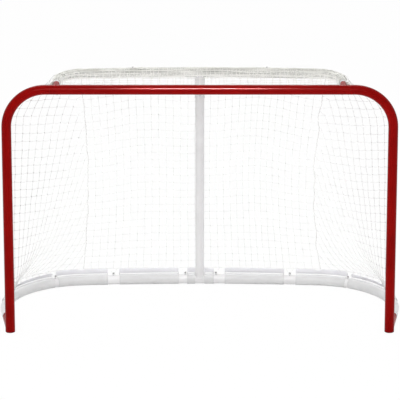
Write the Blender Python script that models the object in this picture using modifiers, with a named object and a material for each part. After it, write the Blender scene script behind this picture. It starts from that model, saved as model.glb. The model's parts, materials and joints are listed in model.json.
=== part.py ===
"""A full-size hockey goal: a knock-down steel frame with a knotted net, a top shelf and laced skirts.

Lengths are in metres. X runs across the mouth, Y runs back from the goal line, Z is up from the floor.
"""

import math

import bmesh
import bpy
from mathutils import Matrix, Vector

# Mouth and front frame
OPENING_WIDTH = 1.8288
OPENING_HEIGHT = 1.2192
FRAME_TUBE = 0.0483
FRAME_WALL = 0.0020
BEND_RADIUS = 0.190
POST_TAIL = 0.0236

# Base loop, measured between tube axes; its legs leave the posts turned outwards by the flare
BASE_DEPTH = 0.720
BASE_FLARE = math.radians(8.95)
BASE_TUBE = 0.0483
BASE_WALL = 0.0018
BASE_CORNER_RADIUS = 0.400
BASE_STUB_LENGTH = 0.150
REAR_RAIL_LENGTH = 1.240

# Top shelf, measured between tube axes
TOP_DEPTH = 0.318
TOP_WIDTH = 1.395
TOP_TUBE = 0.0340
TOP_WALL = 0.0016
TOP_CORNER_RADIUS = 0.130
TOP_STUB_LENGTH = 0.100

# Both rear rails are rolled to one shallow bow
RAIL_BOW_RADIUS = 7.0

# Centre post, its socket under the shelf and its spigot on the base
CENTRE_TUBE = 0.0445
CENTRE_WALL = 0.0016
SOCKET_WALL = 0.0022
SOCKET_LENGTH = 0.150
SOCKET_START = 0.004
POST_INSET = 0.035
CENTRE_SPIGOT_LENGTH = 0.100

# Joints
SPIGOT_LENGTH = 0.120
SPIGOT_WALL = 0.0018
SLIP_FIT = 0.0005
SEAT_GAP = 0.0003
FOOT_CAP_THICKNESS = 0.003
FOOT_PLUG_LENGTH = 0.020
FOOT_CHAMFER = 0.001

# Fasteners
BOLT_DIAMETER = 0.008
BOLT_HEAD_WIDTH = 0.013
BOLT_HEAD_HEIGHT = 0.0053
BOLT_POINT = 0.002
NUT_HEIGHT = 0.0065
THREAD_GAP = 0.0004
CROSSBAR_BOLT_FROM_JOINT = 0.035
CROSSBAR_BOLT_DROP = math.radians(62)
STUB_BOLT_FROM_JOINT = 0.025
SOCKET_BOLT_DEPTH = 0.115
SPIGOT_BOLT_HEIGHT = 0.070

# Net pegs welded to the tubes
PEG_DIAMETER = 0.007
PEG_LENGTH = 0.013
PEG_HEAD_DIAMETER = 0.011
PEG_HEAD_HEIGHT = 0.002
PEG_ROOT = 0.001
CELLS_PER_PEG = 2
TOP_PEG_FROM_CENTRE = 0.330
TOP_PEG_LENGTH = 0.015

# Skirt strips round the base loop, as distances from the rear centre along the rail
SKIRT_GAP = 0.0004
SKIRT_WALL = 0.0012
FLAP_HEIGHT = 0.026
SKIRT_CENTRE_END = 0.068
SKIRT_POST_GAP = 0.0010
SKIRT_REAR = (0.120, 0.425)
SKIRT_CORNER = (0.486, 0.751)
SKIRT_SIDE = (0.770, 1.150)

# Net
STRAND = 0.004
SEAM_CORD = 0.006
SEAM_ON_BASE = 0.600
SEAM_ON_SHELF = 0.585
SEAM_DRAW_IN = 0.036
SEAM_DRAW_FORWARD = 0.050
SEAM_DRAW_SKEW = 0.8
REAR_SAG = 0.035
ROOF_SAG = 0.012
FOLD_DIAMETER = 0.050
FOLD_GAP = 0.0008
FOLD_RIDGE = 0.0014
FOLD_RIDGES = 4
FOLD_END = 0.690
NET_BEND_DEGREES = 80
EDGE_ANGLE = math.radians(47)
SIDE_EDGE_OUT = 0.042
SIDE_EDGE_RISE = 0.008
SIDE_EDGE_SPARE = 0.008
SIDE_EDGE_LIFT = math.radians(20)
SIDE_FADE = 7.0
NET_ROWS = 10
REAR_COLUMNS = 12
SIDE_COLUMNS = 6
ROOF_COLUMNS = 11
ROOF_ROWS = 3

# Facets
TUBE_SIDES = 16
TOP_SIDES = 12
SMALL_SIDES = 6
BEND_STEPS = 8
BASE_CORNER_STEPS = 8
TOP_CORNER_STEPS = 5
BOW_STEPS = 3
CUTTER_SIDES = 24
CUTTER_TURN = math.radians(4)
SMOOTH_ANGLE = math.radians(35)

# Places worked out from the sizes above
FRAME_R = FRAME_TUBE / 2
BASE_R = BASE_TUBE / 2
TOP_R = TOP_TUBE / 2
CENTRE_R = CENTRE_TUBE / 2
FOLD_R = FOLD_DIAMETER / 2
SKIRT_R = BASE_R + SKIRT_GAP + SKIRT_WALL
SOCKET_R = CENTRE_R + SLIP_FIT + SOCKET_WALL
PEG_R = PEG_DIAMETER / 2
POST_X = OPENING_WIDTH / 2 + FRAME_R
BAR_Z = OPENING_HEIGHT + FRAME_R
CROSSBAR_LENGTH = 2 * (POST_X - BEND_RADIUS - POST_TAIL)
RAIL_Z = SKIRT_R
FLAP_TOP = RAIL_Z + SKIRT_R + FLAP_HEIGHT
STRAND_R = STRAND / 2
NET_OFFSET = SKIRT_R - SKIRT_WALL / 2
NET_BASE_Z = FLAP_TOP + STRAND_R + SEAT_GAP
ROOF_NET_HALF = TOP_WIDTH / 2 - FOLD_R - STRAND - FOLD_GAP
EDGE_RADIUS = FOLD_R + STRAND_R + FOLD_GAP
SEAM_SHIFT = SEAM_CORD / 2 + STRAND_R + SEAT_GAP
ORIGIN_TO_GOAL_LINE = (BASE_DEPTH + NET_OFFSET + STRAND_R - FRAME_R) / 2
BACK = Vector((0, 1, 0))
UP = Vector((0, 0, 1))


def clear_radius(radius, gap, sides):
    """The corner radius of a faceted bore whose flats stay a gap outside a round of this radius."""
    return (radius + gap) / math.cos(math.pi / sides)


def material(name, colour, roughness, metallic):
    made = bpy.data.materials.new(name)
    made.use_nodes = True
    shader = made.node_tree.nodes["Principled BSDF"]
    shader.inputs["Base Color"].default_value = (*colour, 1)
    shader.inputs["Roughness"].default_value = roughness
    shader.inputs["Metallic"].default_value = metallic
    return made


def clear_scene():
    for item in list(bpy.data.objects):
        bpy.data.objects.remove(item)


def collection(name):
    made = bpy.data.collections.new(name)
    bpy.context.scene.collection.children.link(made)
    return made


clear_scene()
GOAL = collection("hockey_goal")
CUTTERS = collection("cutters")
ORIGIN = bpy.data.objects.new("goal_line", None)
ORIGIN.location = (0, -ORIGIN_TO_GOAL_LINE, 0)
GOAL.objects.link(ORIGIN)

RED = material("red_enamel", (0.35, 0.008, 0.008), 0.25, 0.0)
WHITE = material("white_enamel", (0.78, 0.78, 0.77), 0.35, 0.0)
TWINE = material("white_twine", (0.80, 0.79, 0.76), 0.85, 0.0)
VINYL = material("white_vinyl", (0.72, 0.71, 0.75), 0.50, 0.0)
ZINC = material("zinc_plate", (0.62, 0.62, 0.60), 0.35, 1.0)
CAP = material("dark_red_plastic", (0.14, 0.006, 0.008), 0.45, 0.0)


def place(name, mesh, finish, matrix=None):
    """Puts a mesh in the goal as a piece of its own, shaded smooth between its sharp edges."""
    piece = bpy.data.objects.new(name, mesh)
    GOAL.objects.link(piece)
    piece.parent = ORIGIN
    if matrix is not None:
        piece.matrix_local = matrix
    if not mesh.materials:
        mesh.materials.append(finish)
    mesh.shade_smooth()
    mesh.set_sharp_from_angle(angle=SMOOTH_ANGLE)
    return piece


def helper(name, mesh):
    """An object that cuts or joins others and is no piece itself."""
    made = bpy.data.objects.new(name, mesh)
    CUTTERS.objects.link(made)
    made.parent = ORIGIN
    made.hide_render = True
    made.display_type = "WIRE"
    return made


def boolean(piece, other, operation):
    step = piece.modifiers.new(other.name, "BOOLEAN")
    step.operation = operation
    step.object = other


def swept_mesh(name, points, radius, sides, caps, twist="Z_UP"):
    """A round section swept along a line of points, with its caps welded on."""
    curve = bpy.data.curves.new(name, "CURVE")
    curve.dimensions = "3D"
    curve.twist_mode = twist
    curve.bevel_depth = radius
    curve.bevel_resolution = (sides - 4) // 2
    curve.use_fill_caps = caps
    spline = curve.splines.new("POLY")
    spline.points.add(len(points) - 1)
    for knot, point in zip(spline.points, points):
        knot.co = (*point, 1)
    return welded_mesh(name, bpy.data.objects.new(name, curve))


def welded_mesh(name, source):
    """What a curve or a modified profile makes, as one welded mesh; the source object is removed."""
    CUTTERS.objects.link(source)
    graph = bpy.context.evaluated_depsgraph_get()
    mesh = bpy.data.meshes.new_from_object(source.evaluated_get(graph))
    bpy.data.objects.remove(source)
    welded = bmesh.new()
    welded.from_mesh(mesh)
    bmesh.ops.remove_doubles(welded, verts=welded.verts, dist=1e-6)
    bmesh.ops.recalc_face_normals(welded, faces=welded.faces)
    welded.to_mesh(mesh)
    welded.free()
    mesh.name = name
    return mesh


def tube(name, points, diameter, wall, finish, twist="Z_UP", sides=TUBE_SIDES):
    """A hollow tube along a line: the outer skin, thickened inwards."""
    skin = swept_mesh(name, points, diameter / 2, sides, False, twist)
    piece = place(name, skin, finish)
    bore = piece.modifiers.new("wall", "SOLIDIFY")
    bore.thickness = wall
    bore.offset = -1
    bore.use_even_offset = True
    return piece


def rod_mesh(name, start, end, radius, sides=CUTTER_SIDES):
    """A capped cylinder between two points, its edges turned off the goal's plane of symmetry."""
    shape = bmesh.new()
    along = end - start
    turn = along.to_track_quat("Z", "Y").to_matrix().to_4x4() @ Matrix.Rotation(CUTTER_TURN, 4, "Z")
    bmesh.ops.create_cone(
        shape,
        cap_ends=True,
        segments=sides,
        radius1=radius,
        radius2=radius,
        depth=along.length,
        matrix=Matrix.Translation((start + end) / 2) @ turn,
    )
    mesh = bpy.data.meshes.new(name)
    shape.to_mesh(mesh)
    shape.free()
    return mesh


def facing(point, direction):
    """A matrix that stands a shape's Z axis on a point, along a direction."""
    return Matrix.Translation(point) @ direction.to_track_quat("Z", "Y").to_matrix().to_4x4()


def blend(a, b, share):
    return a + (b - a) * share


def circle_point(centre, radius, degrees):
    angle = math.radians(degrees)
    return Vector((centre[0] + radius * math.cos(angle), centre[1] + radius * math.sin(angle)))


def rail_plan(depth, front_x, flare, corner, steps):
    """One rear rail in plan, from the left front round the back to the right front.

    Each half is a straight leg that leaves the goal line at front_x, turned outwards by the flare,
    then a corner bend tangent to it, and a shallow bow tangent to the bend.
    """
    front = Vector((front_x, 0))
    leg = Vector((math.sin(flare), math.cos(flare)))
    inward = Vector((-leg.y, leg.x))
    bow_centre = Vector((0, depth - RAIL_BOW_RADIUS))
    # The bend's centre lies one corner radius inside the leg, and as far inside the bow
    offset = front + inward * corner - bow_centre
    ahead = offset.dot(leg)
    reach = (RAIL_BOW_RADIUS - corner) ** 2 - offset.length_squared
    corner_centre = front + inward * corner + leg * (math.sqrt(ahead**2 + reach) - ahead)
    to_corner = corner_centre - bow_centre
    bow_end = 90 - math.degrees(math.atan2(to_corner.y, to_corner.x))
    first = -math.degrees(flare)
    right = [front]
    for step in range(steps + 1):
        right.append(circle_point(corner_centre, corner, blend(first, 90 - bow_end, step / steps)))
    for step in range(1, BOW_STEPS + 1):
        right.append(circle_point(bow_centre, RAIL_BOW_RADIUS, 90 - bow_end * (1 - step / BOW_STEPS)))
    left = [Vector((-point.x, point.y)) for point in right[:-1]]
    return left + right[::-1]


def length_of(line):
    return sum((b - a).length for a, b in zip(line, line[1:]))


def along(line, distance):
    """The point and the heading at a distance from the line's middle, positive to the right."""
    left = distance + length_of(line) / 2
    for a, b in zip(line, line[1:]):
        step = (b - a).length
        if left <= step:
            return a + (b - a) * (left / step), (b - a) / step
        left -= step
    return line[-1].copy(), (line[-1] - line[-2]).normalized()


def stretch(line, start, end):
    """The part of a line between two distances from its middle."""
    place_on_line = -length_of(line) / 2
    inside = []
    for a, b in zip(line, line[1:]):
        place_on_line += (b - a).length
        if start + 1e-6 < place_on_line < end - 1e-6:
            inside.append(b)
    return [along(line, start)[0], *inside, along(line, end)[0]]


def raised(line, height):
    return [Vector((point.x, point.y, height)) for point in line]


def beside(line, distance, outward, height):
    """A point beside a rail: a distance along it, moved away from the goal's inside, at a height."""
    point, heading = along(line, distance)
    return Vector((point.x - heading.y * outward, point.y + heading.x * outward, height))


BASE_LINE = rail_plan(BASE_DEPTH, POST_X, BASE_FLARE, BASE_CORNER_RADIUS, BASE_CORNER_STEPS)
TOP_LINE = rail_plan(TOP_DEPTH, TOP_WIDTH / 2, 0, TOP_CORNER_RADIUS, TOP_CORNER_STEPS)
BASE_HALF = length_of(BASE_LINE) / 2
TOP_HALF = length_of(TOP_LINE) / 2
CENTRE_TOP = Vector((0, TOP_DEPTH, BAR_Z))
CENTRE_FOOT = Vector((0, BASE_DEPTH, RAIL_Z))
CENTRE_DOWN = (CENTRE_FOOT - CENTRE_TOP).normalized()
CENTRE_REAR = CENTRE_DOWN.cross(Vector((-1, 0, 0))).normalized()


def frame_corner(side, degrees, inward=0.0, behind=0.0):
    """A point on a top bend, 0 degrees at the post and 90 at the crossbar."""
    angle = math.radians(degrees)
    radius = BEND_RADIUS - inward
    x = POST_X - BEND_RADIUS + radius * math.cos(angle)
    return Vector((side * x, behind, BAR_Z - BEND_RADIUS + radius * math.sin(angle)))


def net_front(side, share, inboard, behind):
    """A point on the net's front line, a share of the way up the post and round its bend."""
    bend_foot = BAR_Z - BEND_RADIUS
    straight = bend_foot - NET_BASE_Z
    run = share * (straight + math.radians(NET_BEND_DEGREES) * BEND_RADIUS)
    if run < straight:
        return Vector((side * (POST_X - inboard), behind, NET_BASE_Z + run))
    return frame_corner(side, math.degrees((run - straight) / BEND_RADIUS), inboard, behind)


def post_line(side):
    """The axis of a bent post, from its foot to its joint with the crossbar."""
    foot = Vector((side * POST_X, 0, FOOT_CAP_THICKNESS + SEAT_GAP))
    bend = [frame_corner(side, 90 * step / BEND_STEPS) for step in range(BEND_STEPS + 1)]
    return [foot, *bend, Vector((side * (CROSSBAR_LENGTH / 2 + SEAT_GAP / 2), 0, BAR_Z))]


def turned_mesh(name, profile, sides):
    """A profile of (radius, height) points turned about Z by a Screw modifier."""
    shape = bmesh.new()
    rim = [shape.verts.new((radius, 0, height)) for radius, height in profile]
    for pair in zip(rim, rim[1:]):
        shape.edges.new(pair)
    outline = bpy.data.meshes.new(name + "_profile")
    shape.to_mesh(outline)
    shape.free()
    source = bpy.data.objects.new(name + "_profile", outline)
    lathe = source.modifiers.new("lathe", "SCREW")
    lathe.steps = sides
    lathe.render_steps = sides
    lathe.use_merge_vertices = True
    lathe.merge_threshold = 1e-6
    return welded_mesh(name, source)


def repeated_mesh(name, mesh, places):
    """Copies of a mesh, one at each placing matrix, in a single mesh."""
    shape = bmesh.new()
    for matrix in places:
        done = len(shape.verts)
        shape.from_mesh(mesh)
        shape.verts.ensure_lookup_table()
        bmesh.ops.transform(shape, matrix=matrix, verts=shape.verts[done:])
    made = bpy.data.meshes.new(name)
    shape.to_mesh(made)
    shape.free()
    return made


def peg_profile(length):
    head = PEG_HEAD_DIAMETER / 2
    neck = length - PEG_HEAD_HEIGHT
    return [(0, -PEG_ROOT), (PEG_R, -PEG_ROOT), (PEG_R, neck), (head, neck), (head, length), (0, length)]


def weld_pegs(piece, places, length=PEG_LENGTH):
    """Joins a row of headed pegs to a tube, each rooted in the tube's wall."""
    name = piece.name + "_pegs"
    peg = turned_mesh(piece.name + "_peg", peg_profile(length), SMALL_SIDES)
    boolean(piece, helper(name, repeated_mesh(name, peg, places)), "UNION")


def spigot_radius(tube_radius, wall):
    return tube_radius - wall - SLIP_FIT


def hexagon(name, width, half_height, hole=0.0):
    """A flat hexagon with an optional round hole, as a 2D curve given thickness."""
    curve = bpy.data.curves.new(name, "CURVE")
    curve.dimensions = "2D"
    curve.fill_mode = "BOTH"
    curve.extrude = half_height
    outlines = [(width / math.sqrt(3), 6)]
    if hole:
        outlines.append((hole, 2 * SMALL_SIDES))
    for radius, count in outlines:
        spline = curve.splines.new("POLY")
        spline.use_cyclic_u = True
        spline.points.add(count - 1)
        for index, knot in enumerate(spline.points):
            angle = 2 * math.pi * index / count
            knot.co = (radius * math.cos(angle), radius * math.sin(angle), 0, 1)
    return welded_mesh(name, bpy.data.objects.new(name, curve))


def bolted(joint, centre, outward, outer_radius, bore_radius, drilled):
    """A hex bolt through one side of a joint, into a nut held inside the inner tube.

    The holes go through every tube in drilled, on the bolt's side of the joint alone.
    """
    half_corners = BOLT_HEAD_WIDTH / math.sqrt(3)
    seat = outer_radius + SEAT_GAP
    nut_outer = math.sqrt(bore_radius**2 - half_corners**2) - SLIP_FIT
    nut_inner = nut_outer - NUT_HEIGHT
    reach = seat - nut_inner + BOLT_POINT

    head = hexagon(joint + "_bolt", BOLT_HEAD_WIDTH, BOLT_HEAD_HEIGHT / 2)
    head.transform(Matrix.Translation((0, 0, BOLT_HEAD_HEIGHT / 2)))
    bolt = place(joint + "_bolt", head, ZINC, facing(centre + outward * seat, outward))
    shank_top = centre + outward * (seat + BOLT_HEAD_HEIGHT / 2)
    shank_end = centre + outward * (seat - reach)
    shank = rod_mesh(joint + "_shank", shank_end, shank_top, BOLT_DIAMETER / 2, 2 * SMALL_SIDES)
    boolean(bolt, helper(joint + "_shank", shank), "UNION")

    thread = clear_radius(BOLT_DIAMETER / 2, THREAD_GAP, 2 * SMALL_SIDES)
    ring = hexagon(joint + "_nut", BOLT_HEAD_WIDTH, NUT_HEIGHT / 2, thread)
    place(joint + "_nut", ring, ZINC, facing(centre + outward * (nut_outer + nut_inner) / 2, outward))

    drill = rod_mesh(joint + "_drill", centre, centre + outward * (seat + BOLT_POINT), thread)
    drill = helper(joint + "_drill", drill)
    for piece in drilled:
        boolean(piece, drill, "DIFFERENCE")


def notch(piece, name, start, end, radius):
    """Cuts away what lies within a radius of a line, for a neighbour that lies there."""
    cutter = helper(name, rod_mesh(name, start, end, clear_radius(radius, SEAT_GAP, CUTTER_SIDES)))
    boolean(piece, cutter, "DIFFERENCE")


def make_post(side, name):
    post = tube(name + "_post", post_line(side), FRAME_TUBE, FRAME_WALL, RED, "MINIMUM")
    shares = [(row + 0.5) / NET_ROWS for row in range(0, NET_ROWS, CELLS_PER_PEG)]
    weld_pegs(post, [facing(net_front(side, share, 0, FRAME_R), BACK) for share in shares])
    return post


def make_foot_cap(side, name):
    """A turned cap: a chamfered disc on the floor and a plug up inside the post."""
    plug = spigot_radius(FRAME_R, FRAME_WALL)
    profile = [
        (0, FOOT_PLUG_LENGTH),
        (plug, FOOT_PLUG_LENGTH),
        (plug, FOOT_CAP_THICKNESS),
        (FRAME_R, FOOT_CAP_THICKNESS),
        (FRAME_R, FOOT_CHAMFER),
        (FRAME_R - FOOT_CHAMFER, 0),
        (0, 0),
    ]
    mesh = turned_mesh(name + "_foot_cap", profile, TUBE_SIDES)
    place(name + "_foot_cap", mesh, CAP, Matrix.Translation((side * POST_X, 0, 0)))


def make_crossbar():
    end = CROSSBAR_LENGTH / 2 - SEAT_GAP / 2
    bar = tube("crossbar", [Vector((-end, 0, BAR_Z)), Vector((end, 0, BAR_Z))], FRAME_TUBE, FRAME_WALL, RED)
    shares = [2 * (column + 0.5) / ROOF_COLUMNS - 1 for column in range(0, ROOF_COLUMNS, CELLS_PER_PEG)]
    spots = [Vector((ROOF_NET_HALF * share, FRAME_R, BAR_Z)) for share in shares]
    weld_pegs(bar, [facing(spot, BACK) for spot in spots])
    return bar


def make_crossbar_joint(side, name, crossbar):
    radius = spigot_radius(FRAME_R, FRAME_WALL)
    middle = Vector((side * CROSSBAR_LENGTH / 2, 0, BAR_Z))
    # The spigot stays in the post's straight tail, clear of the bend's tighter inside
    half = Vector((side * SPIGOT_LENGTH / 2, 0, 0))
    ends = [middle - half, middle + Vector((side * min(SPIGOT_LENGTH / 2, POST_TAIL), 0, 0))]
    spigot = tube(name + "_crossbar_spigot", ends, radius * 2, SPIGOT_WALL, ZINC)
    # The bolt comes from behind and below, clear of the pegs and of the shelf's stub
    centre = middle - Vector((side * CROSSBAR_BOLT_FROM_JOINT, 0, 0))
    outward = BACK * math.cos(CROSSBAR_BOLT_DROP) - UP * math.sin(CROSSBAR_BOLT_DROP)
    bolted(name + "_crossbar", centre, outward, FRAME_R, radius - SPIGOT_WALL, [crossbar, spigot])


def make_base_side(side, name):
    """The red stub on the post, the corner rail that slips on its spigot, and their bolt."""
    stub_end = BASE_HALF - BASE_STUB_LENGTH
    ends = [along(BASE_LINE, side * stub_end)[0], Vector((side * POST_X, 0))]
    stub = tube(name + "_base_stub", raised(ends, RAIL_Z), BASE_TUBE, BASE_WALL, RED)
    foot = Vector((side * POST_X, 0, -FRAME_R))
    notch(stub, name + "_post_notch", foot, foot + UP * (2 * BASE_TUBE + FRAME_R), FRAME_R)

    joint = REAR_RAIL_LENGTH / 2
    span = sorted((side * (joint + SEAT_GAP), side * (stub_end - SEAT_GAP)))
    line = raised(stretch(BASE_LINE, *span), RAIL_Z)
    corner = tube(name + "_base_rail", line, BASE_TUBE, BASE_WALL, WHITE)
    pegs = [(SKIRT_CORNER[1] + SKIRT_SIDE[0]) / 2, SKIRT_SIDE[1] + PEG_HEAD_DIAMETER]
    tops = [beside(BASE_LINE, side * distance, 0, RAIL_Z + BASE_R) for distance in pegs]
    weld_pegs(corner, [facing(top, UP) for top in tops])

    radius = spigot_radius(BASE_R, BASE_WALL)
    for label, middle in (("stub", stub_end), ("rail", joint)):
        span = sorted((side * (middle - SPIGOT_LENGTH / 2), side * (middle + SPIGOT_LENGTH / 2)))
        line = raised(stretch(BASE_LINE, *span), RAIL_Z)
        spigot = tube(f"{name}_base_{label}_spigot", line, radius * 2, SPIGOT_WALL, ZINC)
        if label == "stub":
            point, heading = along(BASE_LINE, side * (stub_end + STUB_BOLT_FROM_JOINT))
            inward = Vector((heading.y, -heading.x, 0))
            centre = Vector((point.x, point.y, RAIL_Z))
            bolted(name + "_base", centre, inward, BASE_R, radius - SPIGOT_WALL, [stub, spigot])


def make_rear_rail():
    half = REAR_RAIL_LENGTH / 2 - SEAT_GAP / 2
    line = raised(stretch(BASE_LINE, -half, half), RAIL_Z)
    rail = tube("base_rear_rail", line, BASE_TUBE, BASE_WALL, WHITE)
    inner = SKIRT_CENTRE_END + PEG_HEAD_DIAMETER
    outer = (SKIRT_REAR[1] + SKIRT_CORNER[0]) / 2
    tops = [beside(BASE_LINE, distance, 0, RAIL_Z + BASE_R) for distance in (-outer, -inner, inner, outer)]
    weld_pegs(rail, [facing(top, UP) for top in tops])


def make_top_side(side, name):
    """The red stub behind the crossbar, the spigot inside it and their bolt from below."""
    stub_end = TOP_HALF - TOP_STUB_LENGTH
    ends = [along(TOP_LINE, side * stub_end)[0], Vector((side * TOP_WIDTH / 2, 0))]
    stub = tube(name + "_top_stub", raised(ends, BAR_Z), TOP_TUBE, TOP_WALL, RED, sides=TOP_SIDES)
    # The cope follows the bar and its bend
    inner = min(TOP_WIDTH / 2 - TOP_TUBE, POST_X - BEND_RADIUS - TOP_TUBE)
    bend = [frame_corner(side, 90 * (1 - step / BEND_STEPS)) for step in range(BEND_STEPS)]
    line = [Vector((side * inner, 0, BAR_Z)), *bend]
    cope = clear_radius(FRAME_R, SEAT_GAP, CUTTER_SIDES)
    bar = swept_mesh(name + "_crossbar_notch", line, cope, CUTTER_SIDES, True, "MINIMUM")
    boolean(stub, helper(name + "_crossbar_notch", bar), "DIFFERENCE")

    radius = spigot_radius(TOP_R, TOP_WALL)
    span = sorted((side * (stub_end - SPIGOT_LENGTH / 2), side * (stub_end + SPIGOT_LENGTH / 2)))
    line = raised(stretch(TOP_LINE, *span), BAR_Z)
    spigot = tube(name + "_top_spigot", line, radius * 2, TOP_WALL, ZINC, sides=TOP_SIDES)
    bolt = raised([along(TOP_LINE, side * (stub_end + STUB_BOLT_FROM_JOINT))[0]], BAR_Z)[0]
    bolted(name + "_top", bolt, -UP, TOP_R, radius - TOP_WALL, [stub, spigot])


def top_peg_places():
    tops = [beside(TOP_LINE, side * TOP_PEG_FROM_CENTRE, 0, BAR_Z + TOP_R) for side in (-1, 1)]
    return [facing(top, UP) for top in tops]


def make_top_rail():
    half = TOP_HALF - TOP_STUB_LENGTH - SEAT_GAP
    line = raised(stretch(TOP_LINE, -half, half), BAR_Z)
    rail = tube("top_rail", line, TOP_TUBE, TOP_WALL, WHITE, sides=TOP_SIDES)
    weld_pegs(rail, top_peg_places(), TOP_PEG_LENGTH)


def make_centre_post():
    """The post drops from the shelf's socket onto the base rail's spigot, leaning back as it goes."""
    across = Vector((CENTRE_TUBE, 0, 0))

    top = CENTRE_TOP + CENTRE_DOWN * SOCKET_START
    ends = [top, CENTRE_TOP + CENTRE_DOWN * SOCKET_LENGTH]
    socket = tube("centre_socket", ends, SOCKET_R * 2, SOCKET_WALL, WHITE, "MINIMUM")
    notch(socket, "shelf_notch", CENTRE_TOP - across, CENTRE_TOP + across, TOP_R)

    ends = [CENTRE_TOP + CENTRE_DOWN * POST_INSET, CENTRE_FOOT]
    post = tube("centre_post", ends, CENTRE_TUBE, CENTRE_WALL, WHITE, "MINIMUM")
    notch(post, "base_notch", CENTRE_FOOT - across, CENTRE_FOOT + across, BASE_R)

    radius = spigot_radius(CENTRE_R, CENTRE_WALL)
    ends = [CENTRE_FOOT - CENTRE_DOWN * (CENTRE_SPIGOT_LENGTH + BASE_R), CENTRE_FOOT]
    spigot = tube("centre_spigot", ends, radius * 2, SPIGOT_WALL, ZINC, "MINIMUM")
    notch(spigot, "spigot_notch", CENTRE_FOOT - across, CENTRE_FOOT + across, BASE_R)

    centre = CENTRE_TOP + CENTRE_DOWN * SOCKET_BOLT_DEPTH
    bolted("centre_top", centre, -CENTRE_REAR, SOCKET_R, CENTRE_R - CENTRE_WALL, [socket, post])
    centre = CENTRE_FOOT - CENTRE_DOWN * SPIGOT_BOLT_HEIGHT
    bolted("centre_foot", centre, CENTRE_REAR, CENTRE_R, radius - SPIGOT_WALL, [post, spigot])


def section_mesh(name, outline, closed, line):
    """A section swept along a line of points: outline holds (outward, up) pairs round the line."""
    section = bpy.data.curves.new(name + "_section", "CURVE")
    section.dimensions = "2D"
    spline = section.splines.new("POLY")
    spline.use_cyclic_u = closed
    spline.points.add(len(outline) - 1)
    for knot, (outward, up) in zip(spline.points, outline):
        knot.co = (-outward, up, 0, 1)
    shape = bpy.data.objects.new(name + "_section", section)
    CUTTERS.objects.link(shape)

    curve = bpy.data.curves.new(name, "CURVE")
    curve.dimensions = "3D"
    curve.twist_mode = "Z_UP"
    curve.bevel_mode = "OBJECT"
    curve.bevel_object = shape
    curve.use_fill_caps = False
    path = curve.splines.new("POLY")
    path.points.add(len(line) - 1)
    for knot, point in zip(path.points, line):
        knot.co = (*point, 1)
    mesh = welded_mesh(name, bpy.data.objects.new(name, curve))
    bpy.data.objects.remove(shape)
    return mesh


def make_skirt(name, start, end):
    """One vinyl strip: it stands as a flap, runs down and under the rail and back over its top."""
    radius = SKIRT_R - SKIRT_WALL / 2
    turn = 2 * math.pi / TUBE_SIDES
    outline = [(radius, FLAP_TOP - RAIL_Z)]
    outline += [(radius * math.cos(turn * i), -radius * math.sin(turn * i)) for i in range(TUBE_SIDES)]
    line = raised(stretch(BASE_LINE, start, end), RAIL_Z)
    skirt = place(name, section_mesh(name, outline, False, line), VINYL)
    sheet = skirt.modifiers.new("sheet", "SOLIDIFY")
    sheet.thickness = SKIRT_WALL
    sheet.offset = 0
    sheet.use_even_offset = True


def make_skirts():
    spans = {
        "centre": (CENTRE_R + SKIRT_POST_GAP, SKIRT_CENTRE_END),
        "rear": SKIRT_REAR,
        "corner": SKIRT_CORNER,
        "side": SKIRT_SIDE,
    }
    for side, name in ((-1, "left"), (1, "right")):
        for label, span in spans.items():
            make_skirt(f"skirt_{label}_{name}", *sorted((side * span[0], side * span[1])))


def make_fold():
    """The net's gathered edge, rolled round the shelf rail: a lobed roll with the rail's bore in it."""
    count = 4 * FOLD_RIDGES
    outline = []
    for index in range(count):
        angle = 2 * math.pi * index / count
        radius = FOLD_R - FOLD_RIDGE * (1 - math.cos(FOLD_RIDGES * angle)) / 2
        outline.append((radius * math.cos(angle), radius * math.sin(angle)))
    line = raised(stretch(TOP_LINE, -FOLD_END, FOLD_END), BAR_Z)
    fold = place("net_top_fold", section_mesh("net_top_fold", outline, True, line), TWINE)
    roll = fold.modifiers.new("roll", "SOLIDIFY")
    roll.thickness = FOLD_R - FOLD_RIDGE - TOP_R - FOLD_GAP
    roll.offset = -1
    roll.use_even_offset = True
    notch(fold, "fold_socket_notch", CENTRE_TOP, CENTRE_TOP + CENTRE_DOWN * SOCKET_LENGTH, SOCKET_R)
    reach = TOP_PEG_LENGTH * 2
    hole = turned_mesh(
        "fold_peg_hole",
        [(0, -PEG_ROOT), (PEG_DIAMETER, -PEG_ROOT), (PEG_DIAMETER, reach), (0, reach)],
        SMALL_SIDES,
    )
    holes = helper("fold_peg_holes", repeated_mesh("fold_peg_holes", hole, top_peg_places()))
    boolean(fold, holes, "DIFFERENCE")


def net(name, surface, columns, rows):
    """A knotted panel: a grid laid on a surface, each of its edges made a strand."""
    shape = bmesh.new()
    bmesh.ops.create_grid(shape, x_segments=columns, y_segments=rows, size=0.5)
    for corner in shape.verts:
        corner.co = surface(corner.co.x + 0.5, corner.co.y + 0.5)
    mesh = bpy.data.meshes.new(name)
    shape.to_mesh(mesh)
    shape.free()
    panel = place(name, mesh, TWINE)
    strands = panel.modifiers.new("strands", "WIREFRAME")
    strands.thickness = STRAND
    strands.use_replace = True
    strands.use_boundary = True
    strands.use_even_offset = False
    strands.use_relative_offset = False
    return panel


def patch(front, rear, bottom, top, fade):
    """A surface over four border lines: u runs front to rear, v bottom to top.

    fade tells how fast the bottom line's and the top line's own curves die out away from them.
    """

    def surface(u, v):
        between_sides = blend(front(v), rear(v), u)
        bottom_curve = bottom(u) - blend(front(0), rear(0), u)
        top_curve = top(u) - blend(front(1), rear(1), u)
        low, high = (1 - v) * math.exp(-fade * v), v * math.exp(-fade * (1 - v))
        return between_sides + bottom_curve * low + top_curve * high

    return surface


def seam_pull(height_share):
    """How far the net's own pull draws it forward, from 0 at its edges to 1."""
    return math.sin(math.pi * height_share**SEAM_DRAW_SKEW)


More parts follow.
